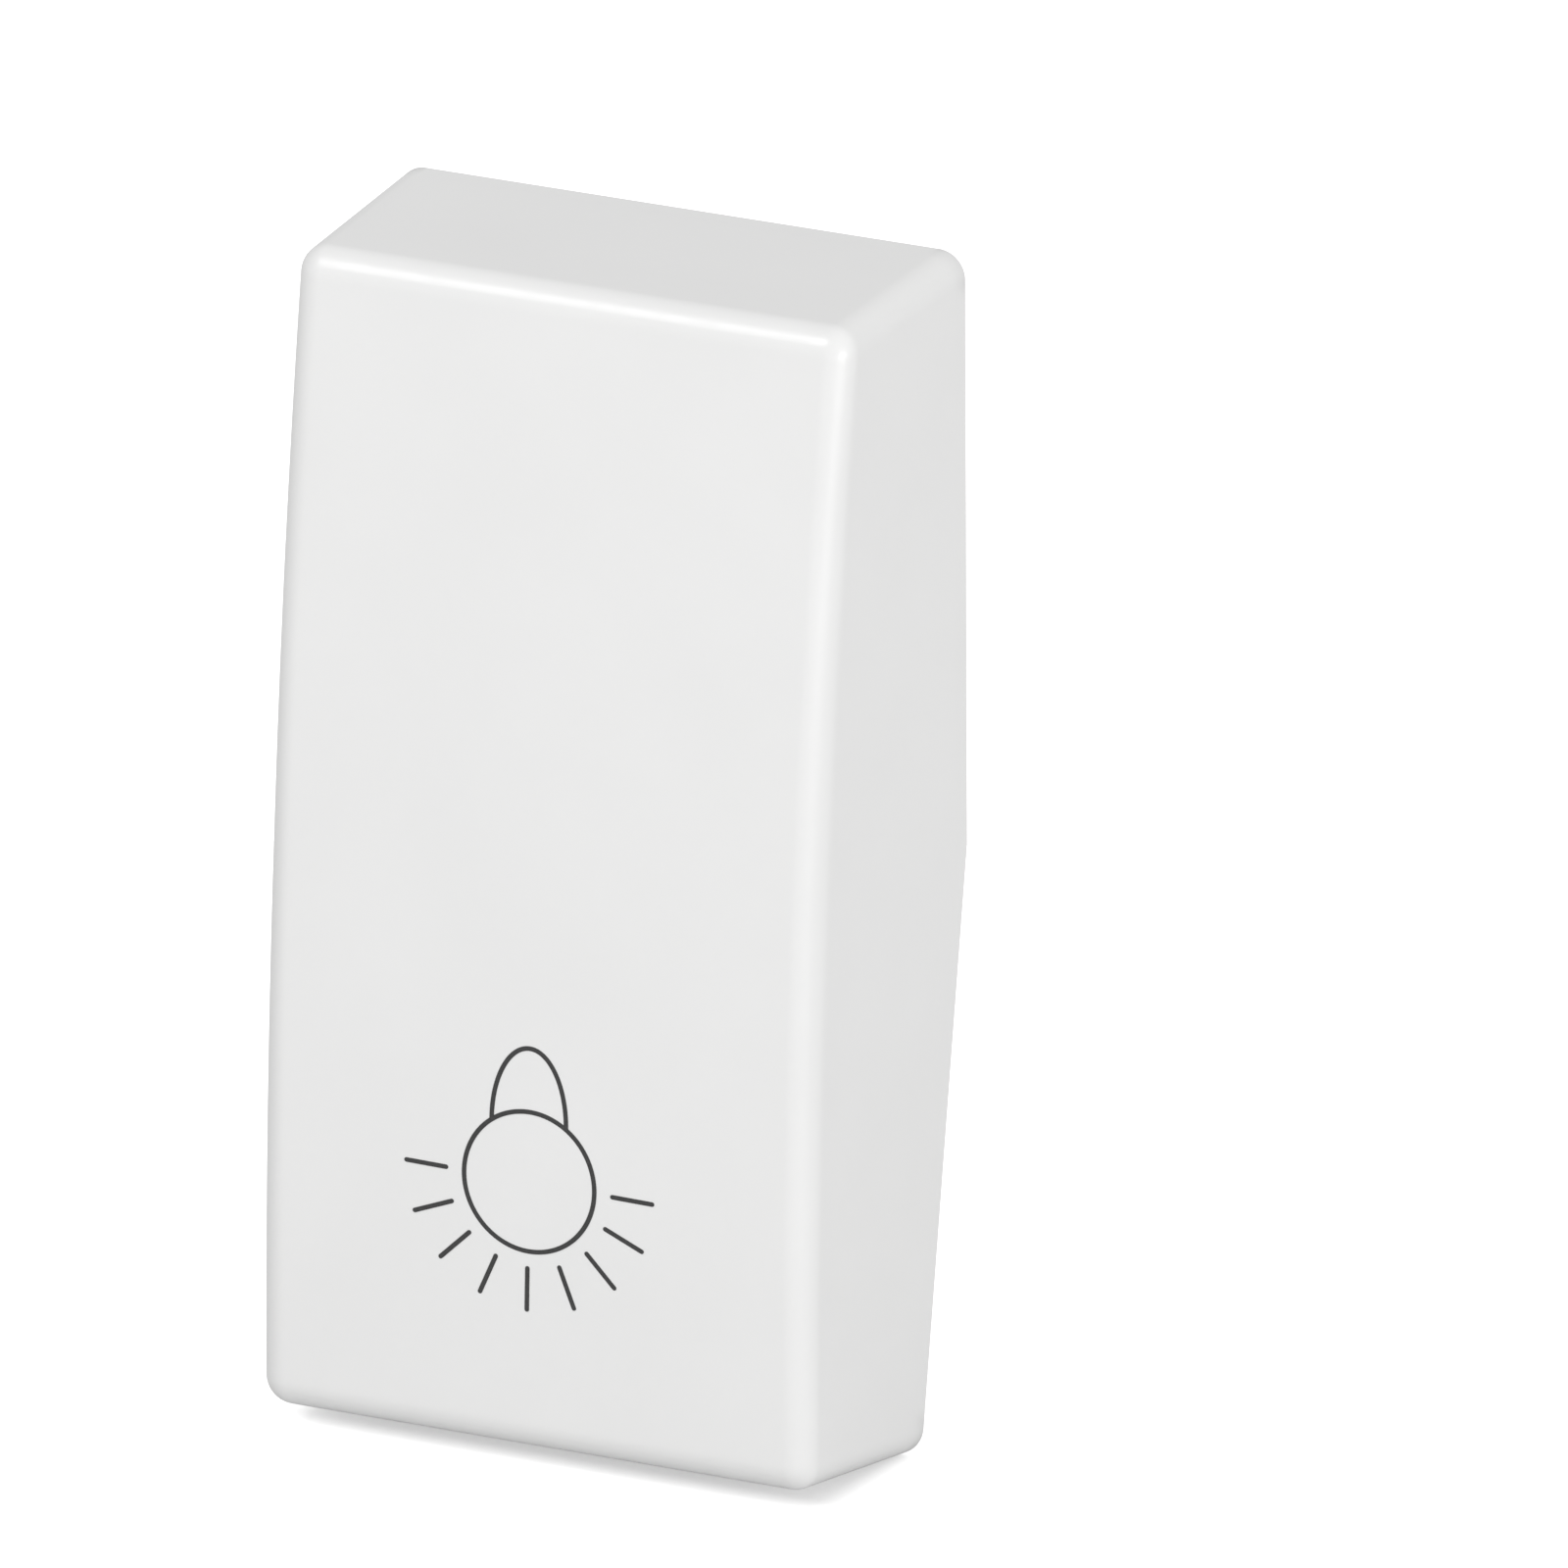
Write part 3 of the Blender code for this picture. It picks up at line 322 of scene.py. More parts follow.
class Nodes:
    """A material's node tree, with the few nodes that the finishes here share."""

    def __init__(self, name):
        self.material = bpy.data.materials.new(name)
        self.material.use_nodes = True
        self.tree = self.material.node_tree
        self.shader = self.tree.nodes["Principled BSDF"]
        self.position = self.add("ShaderNodeTexCoord").outputs["Object"]
        self.normal = None

    def add(self, kind):
        return self.tree.nodes.new(kind)

    def link(self, output, target):
        self.tree.links.new(output, target)

    def noise(self, feature, detail=2.0, roughness=0.5, stretch=(1, 1, 1)):
        """Noise from 0 to 1 whose blotches are about feature metres across."""
        mapping = self.add("ShaderNodeMapping")
        mapping.inputs["Scale"].default_value = stretch
        self.link(self.position, mapping.inputs["Vector"])
        node = self.add("ShaderNodeTexNoise")
        node.inputs["Scale"].default_value = 1.0 / feature
        node.inputs["Detail"].default_value = detail
        node.inputs["Roughness"].default_value = roughness
        self.link(mapping.outputs["Vector"], node.inputs["Vector"])
        return node.outputs["Fac"]

    def spread(self, value, low, high):
        """Takes noise's middle range to between low and high."""
        node = self.add("ShaderNodeMapRange")
        node.inputs["From Min"].default_value = NOISE_LOW
        node.inputs["From Max"].default_value = NOISE_HIGH
        node.inputs["To Min"].default_value = low
        node.inputs["To Max"].default_value = high
        self.link(value, node.inputs["Value"])
        return node.outputs["Result"]

    def colour(self, base, wobble, feature):
        """A base colour that lightens and darkens a little in soft blotches."""
        mix = self.add("ShaderNodeMix")
        mix.data_type = "RGBA"
        dark = [channel * (1 - wobble) for channel in base]
        light = [min(channel * (1 + wobble), 1.0) for channel in base]
        mix.inputs["A"].default_value = (*dark, 1)
        mix.inputs["B"].default_value = (*light, 1)
        self.link(self.spread(self.noise(feature), 0.0, 1.0), mix.inputs["Factor"])
        self.link(mix.outputs["Result"], self.shader.inputs["Base Color"])
        return mix

    def roughness(self, low, high, feature, stretch=(1, 1, 1)):
        """Roughness that wanders between low and high."""
        value = self.spread(self.noise(feature, stretch=stretch), low, high)
        self.link(value, self.shader.inputs["Roughness"])

    def bump(self, value, depth):
        """Raises the surface by value times depth metres; calls add up."""
        node = self.add("ShaderNodeBump")
        node.inputs["Distance"].default_value = depth
        self.link(value, node.inputs["Height"])
        if self.normal:
            self.link(self.normal, node.inputs["Normal"])
        self.normal = node.outputs["Normal"]
        self.link(self.normal, self.shader.inputs["Normal"])

    def set(self, **values):
        """Sets shader inputs whose names have underscores for spaces."""
        for name, value in values.items():
            self.shader.inputs[name.replace("_", " ")].default_value = value


def moulded_plastic(name, colour, roughness, grain=0.09 * MM, depth=0.0012 * MM):
    """Spark-eroded moulded plastic: a fine grain, and slight flow in colour and gloss."""
    nodes = Nodes(name)
    nodes.colour(colour, 0.008, 6 * MM)
    nodes.roughness(roughness - 0.04, roughness + 0.04, 1.5 * MM)
    nodes.bump(nodes.noise(grain, detail=3.0, roughness=0.6), depth)
    nodes.bump(nodes.noise(5 * grain, detail=1.0), 0.6 * depth)
    nodes.set(IOR=1.5)
    return nodes.material


def sheet_metal(name, colour, roughness, stretch=(1, 1, 1), depth=0.0006 * MM):
    """Drawn or rolled metal with fine lines along the axis that stretch shrinks."""
    nodes = Nodes(name)
    nodes.colour(colour, 0.03, 1.2 * MM)
    nodes.roughness(roughness - 0.07, roughness + 0.09, 0.25 * MM, stretch)
    nodes.bump(nodes.noise(0.08 * MM, detail=4.0, stretch=stretch), depth)
    nodes.set(Metallic=1.0)
    return nodes.material


def closed_cell_foam(name, colour):
    """Black foam tape: open pores on a dull, slightly woolly body."""
    nodes = Nodes(name)
    nodes.colour(colour, 0.25, 0.5 * MM)
    nodes.roughness(0.85, 0.98, 0.4 * MM)
    pores = nodes.add("ShaderNodeTexVoronoi")
    pores.inputs["Scale"].default_value = 1.0 / PORE
    nodes.link(nodes.position, pores.inputs["Vector"])
    nodes.bump(pores.outputs["Distance"], PORE_DEPTH)
    nodes.bump(nodes.noise(0.1 * MM, detail=4.0), 0.02 * MM)
    nodes.set(Sheen_Weight=0.2)
    return nodes.material


def clear_rubber(name, colour):
    """Milky silicone that lets some light through."""
    nodes = Nodes(name)
    nodes.colour(colour, 0.02, 1 * MM)
    nodes.roughness(0.45, 0.6, 0.3 * MM)
    nodes.bump(nodes.noise(0.12 * MM), 0.002 * MM)
    nodes.set(Transmission_Weight=0.35, IOR=1.41, Subsurface_Weight=0.3)
    nodes.set(Subsurface_Scale=0.5 * MM)
    return nodes.material


def solder_mask(name, colour):
    """Glossy green lacquer over a weave that shows faintly through."""
    nodes = Nodes(name)
    nodes.colour(colour, 0.18, 1.4 * MM)
    nodes.roughness(0.29, 0.42, 0.8 * MM)
    for axis in ("X", "Z"):
        weave = nodes.add("ShaderNodeTexWave")
        weave.bands_direction = axis
        weave.inputs["Scale"].default_value = 1.0 / WEAVE
        weave.inputs["Distortion"].default_value = 0.4
        nodes.link(nodes.position, weave.inputs["Vector"])
        nodes.bump(weave.outputs["Fac"], WEAVE_DEPTH)
    nodes.set(Coat_Weight=0.5, Coat_Roughness=0.15)
    return nodes.material


def ceramic(name, colour, roughness):
    """Fired or moulded component bodies with a fine, dry surface."""
    nodes = Nodes(name)
    nodes.colour(colour, 0.05, 0.4 * MM)
    nodes.roughness(roughness - 0.05, roughness + 0.08, 0.2 * MM)
    nodes.bump(nodes.noise(0.06 * MM, detail=3.0), 0.003 * MM)
    return nodes.material


def printed_ink(name, colour):
    """Pad-printed ink: an even, slightly mottled film."""
    nodes = Nodes(name)
    nodes.colour(colour, 0.12, 0.15 * MM)
    nodes.roughness(0.45, 0.6, 0.1 * MM)
    nodes.bump(nodes.noise(0.05 * MM, detail=3.0), 0.0015 * MM)
    return nodes.material


def clear_lens(name, colour):
    """The clear resin of an indicator light."""
    nodes = Nodes(name)
    nodes.colour(colour, 0.03, 0.5 * MM)
    nodes.roughness(0.08, 0.2, 0.2 * MM)
    nodes.bump(nodes.noise(0.2 * MM), 0.001 * MM)
    nodes.set(Transmission_Weight=0.5, IOR=1.5)
    return nodes.material


KEY_ALBEDO = (0.775, 0.775, 0.772)
INK_ALBEDO = (0.036, 0.036, 0.036)

# Drawing lines of sheet metal: the noise is stretched along one axis
ALONG_X = (0.08, 1, 1)
ALONG_Z = (1, 1, 0.08)

FINISHES = {
    "key_white": moulded_plastic("key_white", KEY_ALBEDO, 0.33, 0.12 * MM, 0.0006 * MM),
    "cradle_grey": moulded_plastic("cradle_grey", (0.60, 0.61, 0.62), 0.5),
    "housing_white": moulded_plastic("housing_white", (0.74, 0.74, 0.72), 0.48),
    "plate_grey": moulded_plastic("plate_grey", (0.52, 0.53, 0.54), 0.55),
    "cover_grey": moulded_plastic("cover_grey", (0.27, 0.28, 0.30), 0.5),
    "foam_dark": closed_cell_foam("foam_dark", (0.03, 0.03, 0.033)),
    "silicone_clear": clear_rubber("silicone_clear", (0.72, 0.73, 0.72)),
    "board_green": solder_mask("board_green", (0.012, 0.11, 0.05)),
    "cell_steel": sheet_metal("cell_steel", (0.66, 0.66, 0.65), 0.36, ALONG_X),
    "spring_steel": sheet_metal("spring_steel", (0.60, 0.60, 0.60), 0.36),
    "pin_steel": sheet_metal("pin_steel", (0.63, 0.63, 0.62), 0.36, ALONG_X),
    "screw_steel": sheet_metal("screw_steel", (0.58, 0.58, 0.57), 0.38),
    "contact_nickel": sheet_metal("contact_nickel", (0.72, 0.68, 0.60), 0.36, ALONG_Z),
    "switch_black": moulded_plastic("switch_black", (0.025, 0.025, 0.026), 0.45),
    "plunger_white": moulded_plastic("plunger_white", (0.78, 0.78, 0.76), 0.45),
    "chip_black": ceramic("chip_black", (0.018, 0.018, 0.02), 0.5),
    "crystal_steel": sheet_metal("crystal_steel", (0.70, 0.70, 0.69), 0.36, ALONG_X),
    "ceramic_white": ceramic("ceramic_white", (0.78, 0.77, 0.72), 0.35),
    "capacitor_tan": ceramic("capacitor_tan", (0.42, 0.27, 0.14), 0.35),
    "resistor_black": ceramic("resistor_black", (0.02, 0.02, 0.022), 0.4),
    "led_clear": clear_lens("led_clear", (0.88, 0.86, 0.70)),
    "ink": printed_ink("ink", INK_ALBEDO),
}


# ---------------------------------------------------------------- the frame's own facts

BODY_OF = {
    node: body
    for body, members in frame["record"]["behaviour"]["bodies"].items()
    for node in members
}
SLOT_OF = {row["node"]: row["material_slot"] for row in frame["record"]["subparts"]}


def show(piece, node, *others):
    """A fine piece takes the place, body and finish of its CAD node."""
    slot = SLOT_OF[node]
    piece.data.materials.clear()
    piece.data.materials.append(FINISHES[slot])
    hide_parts(node, *others)
    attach(piece, BODY_OF[node])
    return piece


def show_extra(piece, node, slot, finish=None):
    """A detail that rides with a node but has no CAD solid of its own."""
    piece.data.materials.clear()
    piece.data.materials.append(FINISHES[finish or slot])
    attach(piece, BODY_OF[node])
    return piece


# ---------------------------------------------------------------- mesh building blocks


def smooth_mesh(bm, name):
    """A mesh with outward faces, smooth but for its sharp edges; it frees bm."""
    if bm.calc_volume(signed=True) < 0:
        bmesh.ops.reverse_faces(bm, faces=bm.faces)
    mesh = bpy.data.meshes.new(name)
    bm.to_mesh(mesh)
    bm.free()
    mesh.shade_smooth()
    mesh.set_sharp_from_angle(angle=math.radians(SHARP_ANGLE))
    return mesh


def add_piece(name, bm):
    """An object in the scene, made from bm."""
    obj = bpy.data.objects.new(name, smooth_mesh(bm, name))
    bpy.context.scene.collection.objects.link(obj)
    return obj


def combine(obj, bm, operation):
    """Joins bm to an object, or cuts it out."""
    tool = add_piece(f"{obj.name}_tool", bm)
    modifier = obj.modifiers.new(operation, "BOOLEAN")
    modifier.operation = operation
    modifier.object = tool
    settle(obj)
    bpy.data.objects.remove(tool, do_unlink=True)


def settle(obj):
    """Applies an object's modifiers to its mesh."""
    bpy.context.view_layer.update()
    evaluated = obj.evaluated_get(bpy.context.evaluated_depsgraph_get())
    mesh = bpy.data.meshes.new_from_object(evaluated)
    obj.modifiers.clear()
    obj.data = mesh


def round_edges(obj, width, segments=2):
    """Bevels an object's edges."""
    bevel = obj.modifiers.new("soft_edges", "BEVEL")
    bevel.width = width
    bevel.segments = segments
    bevel.limit_method = "ANGLE"
    bevel.angle_limit = math.radians(BEVEL_ANGLE)
    bevel.use_clamp_overlap = True
    settle(obj)


def flatten_faces(obj):
    """Keeps flat faces flat in the shading, next to the rounded edges round them."""
    obj.data.shade_smooth()
    obj.data.set_sharp_from_angle(angle=math.radians(SHARP_ANGLE))
    normals = obj.modifiers.new("flat_faces", "WEIGHTED_NORMAL")
    normals.keep_sharp = True
    settle(obj)


def soften(obj, width, segments=2):
    """Rounded edges between flat faces."""
    round_edges(obj, width, segments)
    flatten_faces(obj)


def along(axis, edge):
    """Whether an edge runs along an axis."""
    a, b = edge.verts
    return abs((b.co - a.co).normalized()[axis]) > 0.99


def block(half_width, half_height, front, back, centre=(0.0, 0.0)):
    """A box given as it is seen from the front: half sizes, a front and a back depth."""
    bm = bmesh.new()
    bmesh.ops.create_cube(bm, size=1.0)
    size = Vector((2 * half_width, back - front, 2 * half_height))
    place = Vector((centre[0], (front + back) / 2, centre[1]))
    bm.transform(Matrix.Translation(place) @ Matrix.Diagonal((*size, 1.0)))
    return bm


def disc(radius, front, back, centre=(0.0, 0.0), sides=64):
    """A cylinder along Y, with its centre given as (x, z)."""
    bm = bmesh.new()
    bmesh.ops.create_cone(
        bm, cap_ends=True, segments=sides, radius1=radius, radius2=radius, depth=back - front
    )
    turn = Matrix.Rotation(math.radians(-90), 4, "X")
    shift = Matrix.Translation((centre[0], (front + back) / 2, centre[1]))
    bm.transform(shift @ turn)
    return bm


def turned(profile, centre=(0.0, 0.0), sides=96):
    """A solid turned about Y from (radius, y) points that start and end on the axis."""
    bm = bmesh.new()
    verts = [bm.verts.new((radius, y, 0.0)) for radius, y in profile]
    edges = [bm.edges.new(pair) for pair in zip(verts, verts[1:])]
    bmesh.ops.spin(
        bm,
        geom=verts + edges,
        cent=(0, 0, 0),
        axis=(0, 1, 0),
        angle=math.radians(360),
        steps=sides,
        use_merge=True,
    )
    bmesh.ops.remove_doubles(bm, verts=bm.verts, dist=HAIR)
    bm.transform(Matrix.Translation((centre[0], 0.0, centre[1])))
    return bm


def pour(source, target):
    """Adds one bmesh to another and frees it."""
    mesh = bpy.data.meshes.new("poured")
    source.to_mesh(mesh)
    source.free()
    target.from_mesh(mesh)
    bpy.data.meshes.remove(mesh)


def both_sides(x):
    return (("left", -x), ("right", x))


# ---------------------------------------------------------------- rocker key


def face_surface(z):
    """Depth of the key's crowned face at height z."""
    return FACE_Y - CROWN * (1 - (z / (FACE_HEIGHT / 2)) ** 2)


def inner_surface(z):
    """Depth of the key's face on its inside."""
    return face_surface(z) + KEY_FACE_WALL


def rim_surface(z):
    """Depth of the skirt's rear edge: deepest at the middle, so the key can rock."""
    slope = (DEPTH_AT_MIDDLE - DEPTH_AT_ENDS) / (FACE_HEIGHT / 2)
    return FACE_Y + DEPTH_AT_MIDDLE - slope * abs(z)


def past_rim(z):
    """A depth behind all of the skirt, for the cutter that hollows the key."""
    return FACE_Y + DEPTH_AT_MIDDLE + MM


def slice_across(bm, axis, places):
    """Cuts loops into a mesh at each place along an axis."""
    normal = Vector((0, 0, 0))
    normal[axis] = 1
    for place in places:
        bmesh.ops.bisect_plane(
            bm,
            geom=bm.verts[:] + bm.edges[:] + bm.faces[:],
            dist=HAIR,
            plane_co=normal * place,
            plane_no=normal,
        )


def cap_block(inset, radius, front, rear, segments, slices):
    """The key's drafted form, shrunk by inset, between two depth functions of z."""
    half_width = FACE_WIDTH / 2 - inset
    half_height = FACE_HEIGHT / 2 - inset
    bm = block(half_width, half_height, 0.0, DEPTH_AT_MIDDLE)
    edges = [edge for edge in bm.edges if along(1, edge)]
    edges += [edge for edge in bm.edges if all(v.co.y < HAIR for v in edge.verts)]
    bmesh.ops.bevel(
        bm, geom=edges, offset=radius, segments=segments, profile=0.5, affect="EDGES"
    )
    reach = radius + KEY_SUPPORT
    slice_across(bm, 0, (reach - half_width, half_width - reach))
    slice_across(bm, 1, (reach, DEPTH_AT_MIDDLE - reach))
    steps = [half_height * (2 * i / slices - 1) for i in range(1, slices)]
    slice_across(bm, 2, [reach - half_height, *steps, half_height - reach])
    for vert in bm.verts:
        x, y, z = vert.co
        share = y / DEPTH_AT_MIDDLE
        depth = front(z) * (1 - share) + rear(z) * share
        behind = depth - FACE_Y
        vert.co.x = x * (1 + behind * math.tan(SIDE_DRAFT) / half_width)
        vert.co.y = depth
        vert.co.z = z * (1 + behind * math.tan(END_DRAFT) / half_height)
    return bm


def make_rocker_key():
    """A hollow moulding with a crowned face, ribs and the pegs that hold its cradle."""
    outside = cap_block(
        0.0, EDGE_RADIUS, face_surface, rim_surface, KEY_FILLET_SEGMENTS, KEY_SLICES
    )
    key = add_piece("rocker_key_shell", outside)
    inside = cap_block(
        KEY_WALL, INNER_RADIUS, inner_surface, past_rim, INNER_FILLET_SEGMENTS, INNER_SLICES
    )
    combine(key, inside, "DIFFERENCE")
    round_edges(key, RIM_SOFTENING)
    for _, x in both_sides(RIB_X):
        rib = block(RIB_WIDTH / 2, PEG_Z, RIB_FRONT, RIB_BACK, (x, 0.0))
        combine(key, rib, "UNION")
    half_span = (FACE_WIDTH - KEY_WALL) / 2
    for z in (-RIB_Z, 0.0, RIB_Z):
        rib = block(half_span, RIB_WIDTH / 2, RIB_FRONT, LEVEL_RIB_BACK, (0.0, z))
        combine(key, rib, "UNION")
    for _, x in both_sides(PEG_X):
        for z in (-PEG_Z, PEG_Z):
            peg = disc(PEG_RADIUS, RIB_FRONT, PEG_BACK, (x, z), PEG_SIDES)
            combine(key, peg, "UNION")
    flatten_faces(key)
    show(key, "rocker_key")


# ---------------------------------------------------------------- lamp symbol


def stroke_outline(points, closed):
    """The loops round a stroke along points, with round caps where it is open."""
    count = len(points)
    left, right = [], []
    for i, point in enumerate(points):
        before = points[(i - 1) % count if closed else max(i - 1, 0)]
        after = points[(i + 1) % count if closed else min(i + 1, count - 1)]
        heading = (after - before).normalized()
        side = Vector((-heading.y, heading.x)) * STROKE / 2
        left.append(point + side)
        right.append(point - side)
    if closed:
        return [left, right]
    last_cap = round_cap(points[-2], points[-1])
    first_cap = round_cap(points[1], points[0])
    return [left + last_cap + right[::-1] + first_cap]


def round_cap(inner, end, steps=8):
    """Points round a stroke's end, from its left edge to its right edge."""
    heading = (end - inner).normalized()
    start = math.atan2(heading.y, heading.x) + math.pi / 2
    angles = [start - math.pi * i / steps for i in range(1, steps)]
    return [end + Vector((math.cos(a), math.sin(a))) * STROKE / 2 for a in angles]


def ink_depth(z, proud):
    """Depth of the ink's front at height z, or of its back, sunk into the key."""
    return face_surface(z) - (INK_PROUD if proud else -INK_SUNK)


def ink_stroke(points, closed=False):
    """A stroke of ink: filled front and back copies of its loops, joined at their edges."""
    loops = stroke_outline(points, closed)
    bm = bmesh.new()
    front = [[bm.verts.new((p.x, ink_depth(p.y, True), p.y)) for p in loop] for loop in loops]
    back = [[bm.verts.new((p.x, ink_depth(p.y, False), p.y)) for p in loop] for loop in loops]
    for rows in (front, back):
        edges = [
            bm.edges.new((loop[i - 1], loop[i])) for loop in rows for i in range(len(loop))
        ]
        bmesh.ops.triangle_fill(bm, use_beauty=True, use_dissolve=False, edges=edges)
    for upper, lower in zip(front, back):
        for i in range(len(upper)):
            bm.faces.new((upper[i - 1], upper[i], lower[i], lower[i - 1]))
    bmesh.ops.recalc_face_normals(bm, faces=bm.faces)
    return bm


def ink_ring():
    """The lamp's bulb."""
    steps = 128
    points = []
    for i in range(steps):
        angle = 2 * math.pi * i / steps
        x = LAMP_X + LAMP_HALF_WIDTH * math.cos(angle)
        points.append(Vector((x, LAMP_Z + LAMP_HALF_HEIGHT * math.sin(angle))))
    return ink_stroke(points, closed=True)


def ink_socket():
    """The arch above the bulb."""
    steps = 64
    points = []
    for i in range(steps + 1):
        angle = math.pi * i / steps
        x = SOCKET_X + SOCKET_HALF_WIDTH * math.cos(angle)
        z = LAMP_Z + SOCKET_FOOT + SOCKET_HEIGHT * math.sin(angle)
        points.append(Vector((x, z)))
    return ink_stroke(points)


def ink_ray(angle):
    """One of the lines that spread out from the bulb."""
    heading = Vector((math.cos(angle), math.sin(angle)))
    centre = Vector((LAMP_X, LAMP_Z))
    length = RAY_OUTER - RAY_INNER
    steps = 6
    points = [centre + heading * (RAY_INNER + length * i / steps) for i in range(steps + 1)]
    return ink_stroke(points)


def make_lamp_symbol():
    """A printed line drawing of a lit lamp that hangs, with rays below it."""
    symbol = add_piece("lamp_symbol", ink_ring())
    combine(symbol, ink_socket(), "UNION")
    for i in range(RAY_COUNT):
        angle = math.pi + RAY_TILT + math.pi * i / (RAY_COUNT - 1)
        combine(symbol, ink_ray(angle), "UNION")
    show_extra(symbol, "rocker_key", "key_white", "ink")


# ---------------------------------------------------------------- the other pieces


def refined(node, width, segments=3):
    """A node's own shape with its edges softly rounded, as moulding or pressing leaves them."""
    bm = bmesh.new()
    bm.from_mesh(frame["nodes"][node].data)
    bmesh.ops.remove_doubles(bm, verts=bm.verts, dist=WELD)
    bmesh.ops.dissolve_limit(bm, angle_limit=FLAT_WITHIN, verts=bm.verts, edges=bm.edges)
    piece = add_piece(f"{node}_fine", bm)
    soften(piece, width, segments)
    return show(piece, node)


SOFT_EDGES = {
    "rocker_cradle": 0.08 * MM,
    "base_housing": 0.08 * MM,
    "wall_plate": 0.1 * MM,
    "board_cover": 0.08 * MM,
    "adhesive_pad": 0.06 * MM,
    "circuit_board": 0.05 * MM,
    "battery_contact_negative": 0.03 * MM,
    "battery_contact_positive": 0.03 * MM,
    "radio_chip": 0.03 * MM,
    "voltage_regulator": 0.03 * MM,
    "crystal": 0.06 * MM,
    "chip_antenna": 0.03 * MM,
    "status_led": 0.03 * MM,
    "switch_body": 0.06 * MM,
    "switch_plate": 0.03 * MM,
    "pairing_switch_body": 0.05 * MM,
    "pivot_pin_left": 0.06 * MM,
    "pivot_pin_right": 0.06 * MM,
    "stop_pad_left": 0.05 * MM,
    "stop_pad_right": 0.05 * MM,
    "cover_screw_left": 0.03 * MM,
    "cover_screw_right": 0.03 * MM,
    "pairing_button": 0.03 * MM,
    "switch_plunger": 0.03 * MM,
}


CHIP_SOFT_EDGE = 0.03 * MM


def make_refined_pieces():
    """Every piece whose fine form is its CAD form with soft edges."""
    for node, width in SOFT_EDGES.items():
        refined(node, width)
    for node in SLOT_OF:
        if node.startswith(("capacitor", "resistor")):
            refined(node, CHIP_SOFT_EDGE)


def wire_helix(start, end):
    """A wire helix round Y from start to end, with its first and last turns closed up."""
    free_turns = SPRING_TURNS - 2
    bm = bmesh.new()
    rings = []
    for i in range(SPRING_TURNS * SPRING_STEPS + 1):
        turn = i / SPRING_STEPS
        share = min(max((turn - 1) / free_turns, 0.0), 1.0)
        near = start - SPRING_END_PITCH * min(turn, 1.0)
        far = end + SPRING_END_PITCH * min(SPRING_TURNS - turn, 1.0)
        y = near + (far - near) * share
        angle = 2 * math.pi * turn
        ring = []
        for j in range(SPRING_SIDES):
            around = 2 * math.pi * j / SPRING_SIDES
            radius = SPRING_RADIUS + SPRING_WIRE * math.cos(around)
            point = (
                radius * math.cos(angle),
                y + SPRING_WIRE * math.sin(around),
                SPRING_Z + radius * math.sin(angle),
            )
            ring.append(bm.verts.new(point))
        rings.append(ring)
    for first, second in zip(rings, rings[1:]):
        for j in range(SPRING_SIDES):
            bm.faces.new((first[j - 1], first[j], second[j], second[j - 1]))
    bm.faces.new(rings[0][::-1])
    bm.faces.new(rings[-1])
    bmesh.ops.recalc_face_normals(bm, faces=bm.faces)
    return bm


def make_return_spring():
    """A wire spring, which shortens as the key goes down."""
    low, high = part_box("return_spring")
    helix = wire_helix(high.y - SPRING_WIRE, low.y + SPRING_WIRE)
    spring = show(add_piece("return_spring_fine", helix), "return_spring")
    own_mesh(spring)


def make_switch_dome():
    """A thin snap dome under the plunger, which flattens as it is pressed."""
    low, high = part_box("switch_dome")
    centre = ((low.x + high.x) / 2, (low.z + high.z) / 2)
    radius = (high.x - low.x) / 2
    rise = DOME_RIM_Y - low.y
    steps = 16
    over = [(radius * i / steps, low.y + rise * (i / steps) ** 2) for i in range(steps + 1)]
    under = [(r, y + DOME_SHEET) for r, y in over[-2::-1]]
    dome = show(add_piece("switch_dome_fine", turned(over + under, centre)), "switch_dome")
    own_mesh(dome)


def make_coin_cell():
    """A crimped steel can: a wide positive face with a raised rim, and its plus mark."""
    low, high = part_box("coin_cell")
    centre = ((low.x + high.x) / 2, (low.z + high.z) / 2)
    radius = (high.x - low.x) / 2
    front, back = low.y, high.y
    rise_inner, rise_outer = CELL_RISE
    profile = [
        (0.0, front + CELL_SUNK),
        (radius - rise_inner, front + CELL_SUNK),
        (radius - rise_outer, front),
    ]
    steps = 8
    for i in range(steps + 1):
        angle = math.pi / 2 * i / steps
        out = radius - CELL_CORNER + CELL_CORNER * math.sin(angle)
        profile.append((out, front + CELL_CORNER - CELL_CORNER * math.cos(angle)))
    profile += [(radius - inset, back - depth) for inset, depth in CELL_CRIMP]
    profile += [(0.0, back)]
    cell = add_piece("coin_cell_fine", turned(profile, centre, sides=CELL_SEGMENTS))
    show(cell, "coin_cell")
    plus_back = front + PLUS_BACK
    plus_front = plus_back - PLUS_THICK
    place = (centre[0], centre[1] + PLUS_UP)
    level = block(PLUS_ARM, PLUS_HALF, plus_front, plus_back, place)
    upright = block(PLUS_HALF, PLUS_ARM, plus_front, plus_back, place)
    mark = add_piece("coin_cell_plus", level)
    combine(mark, upright, "UNION")
    show_extra(mark, "coin_cell", "cell_steel")


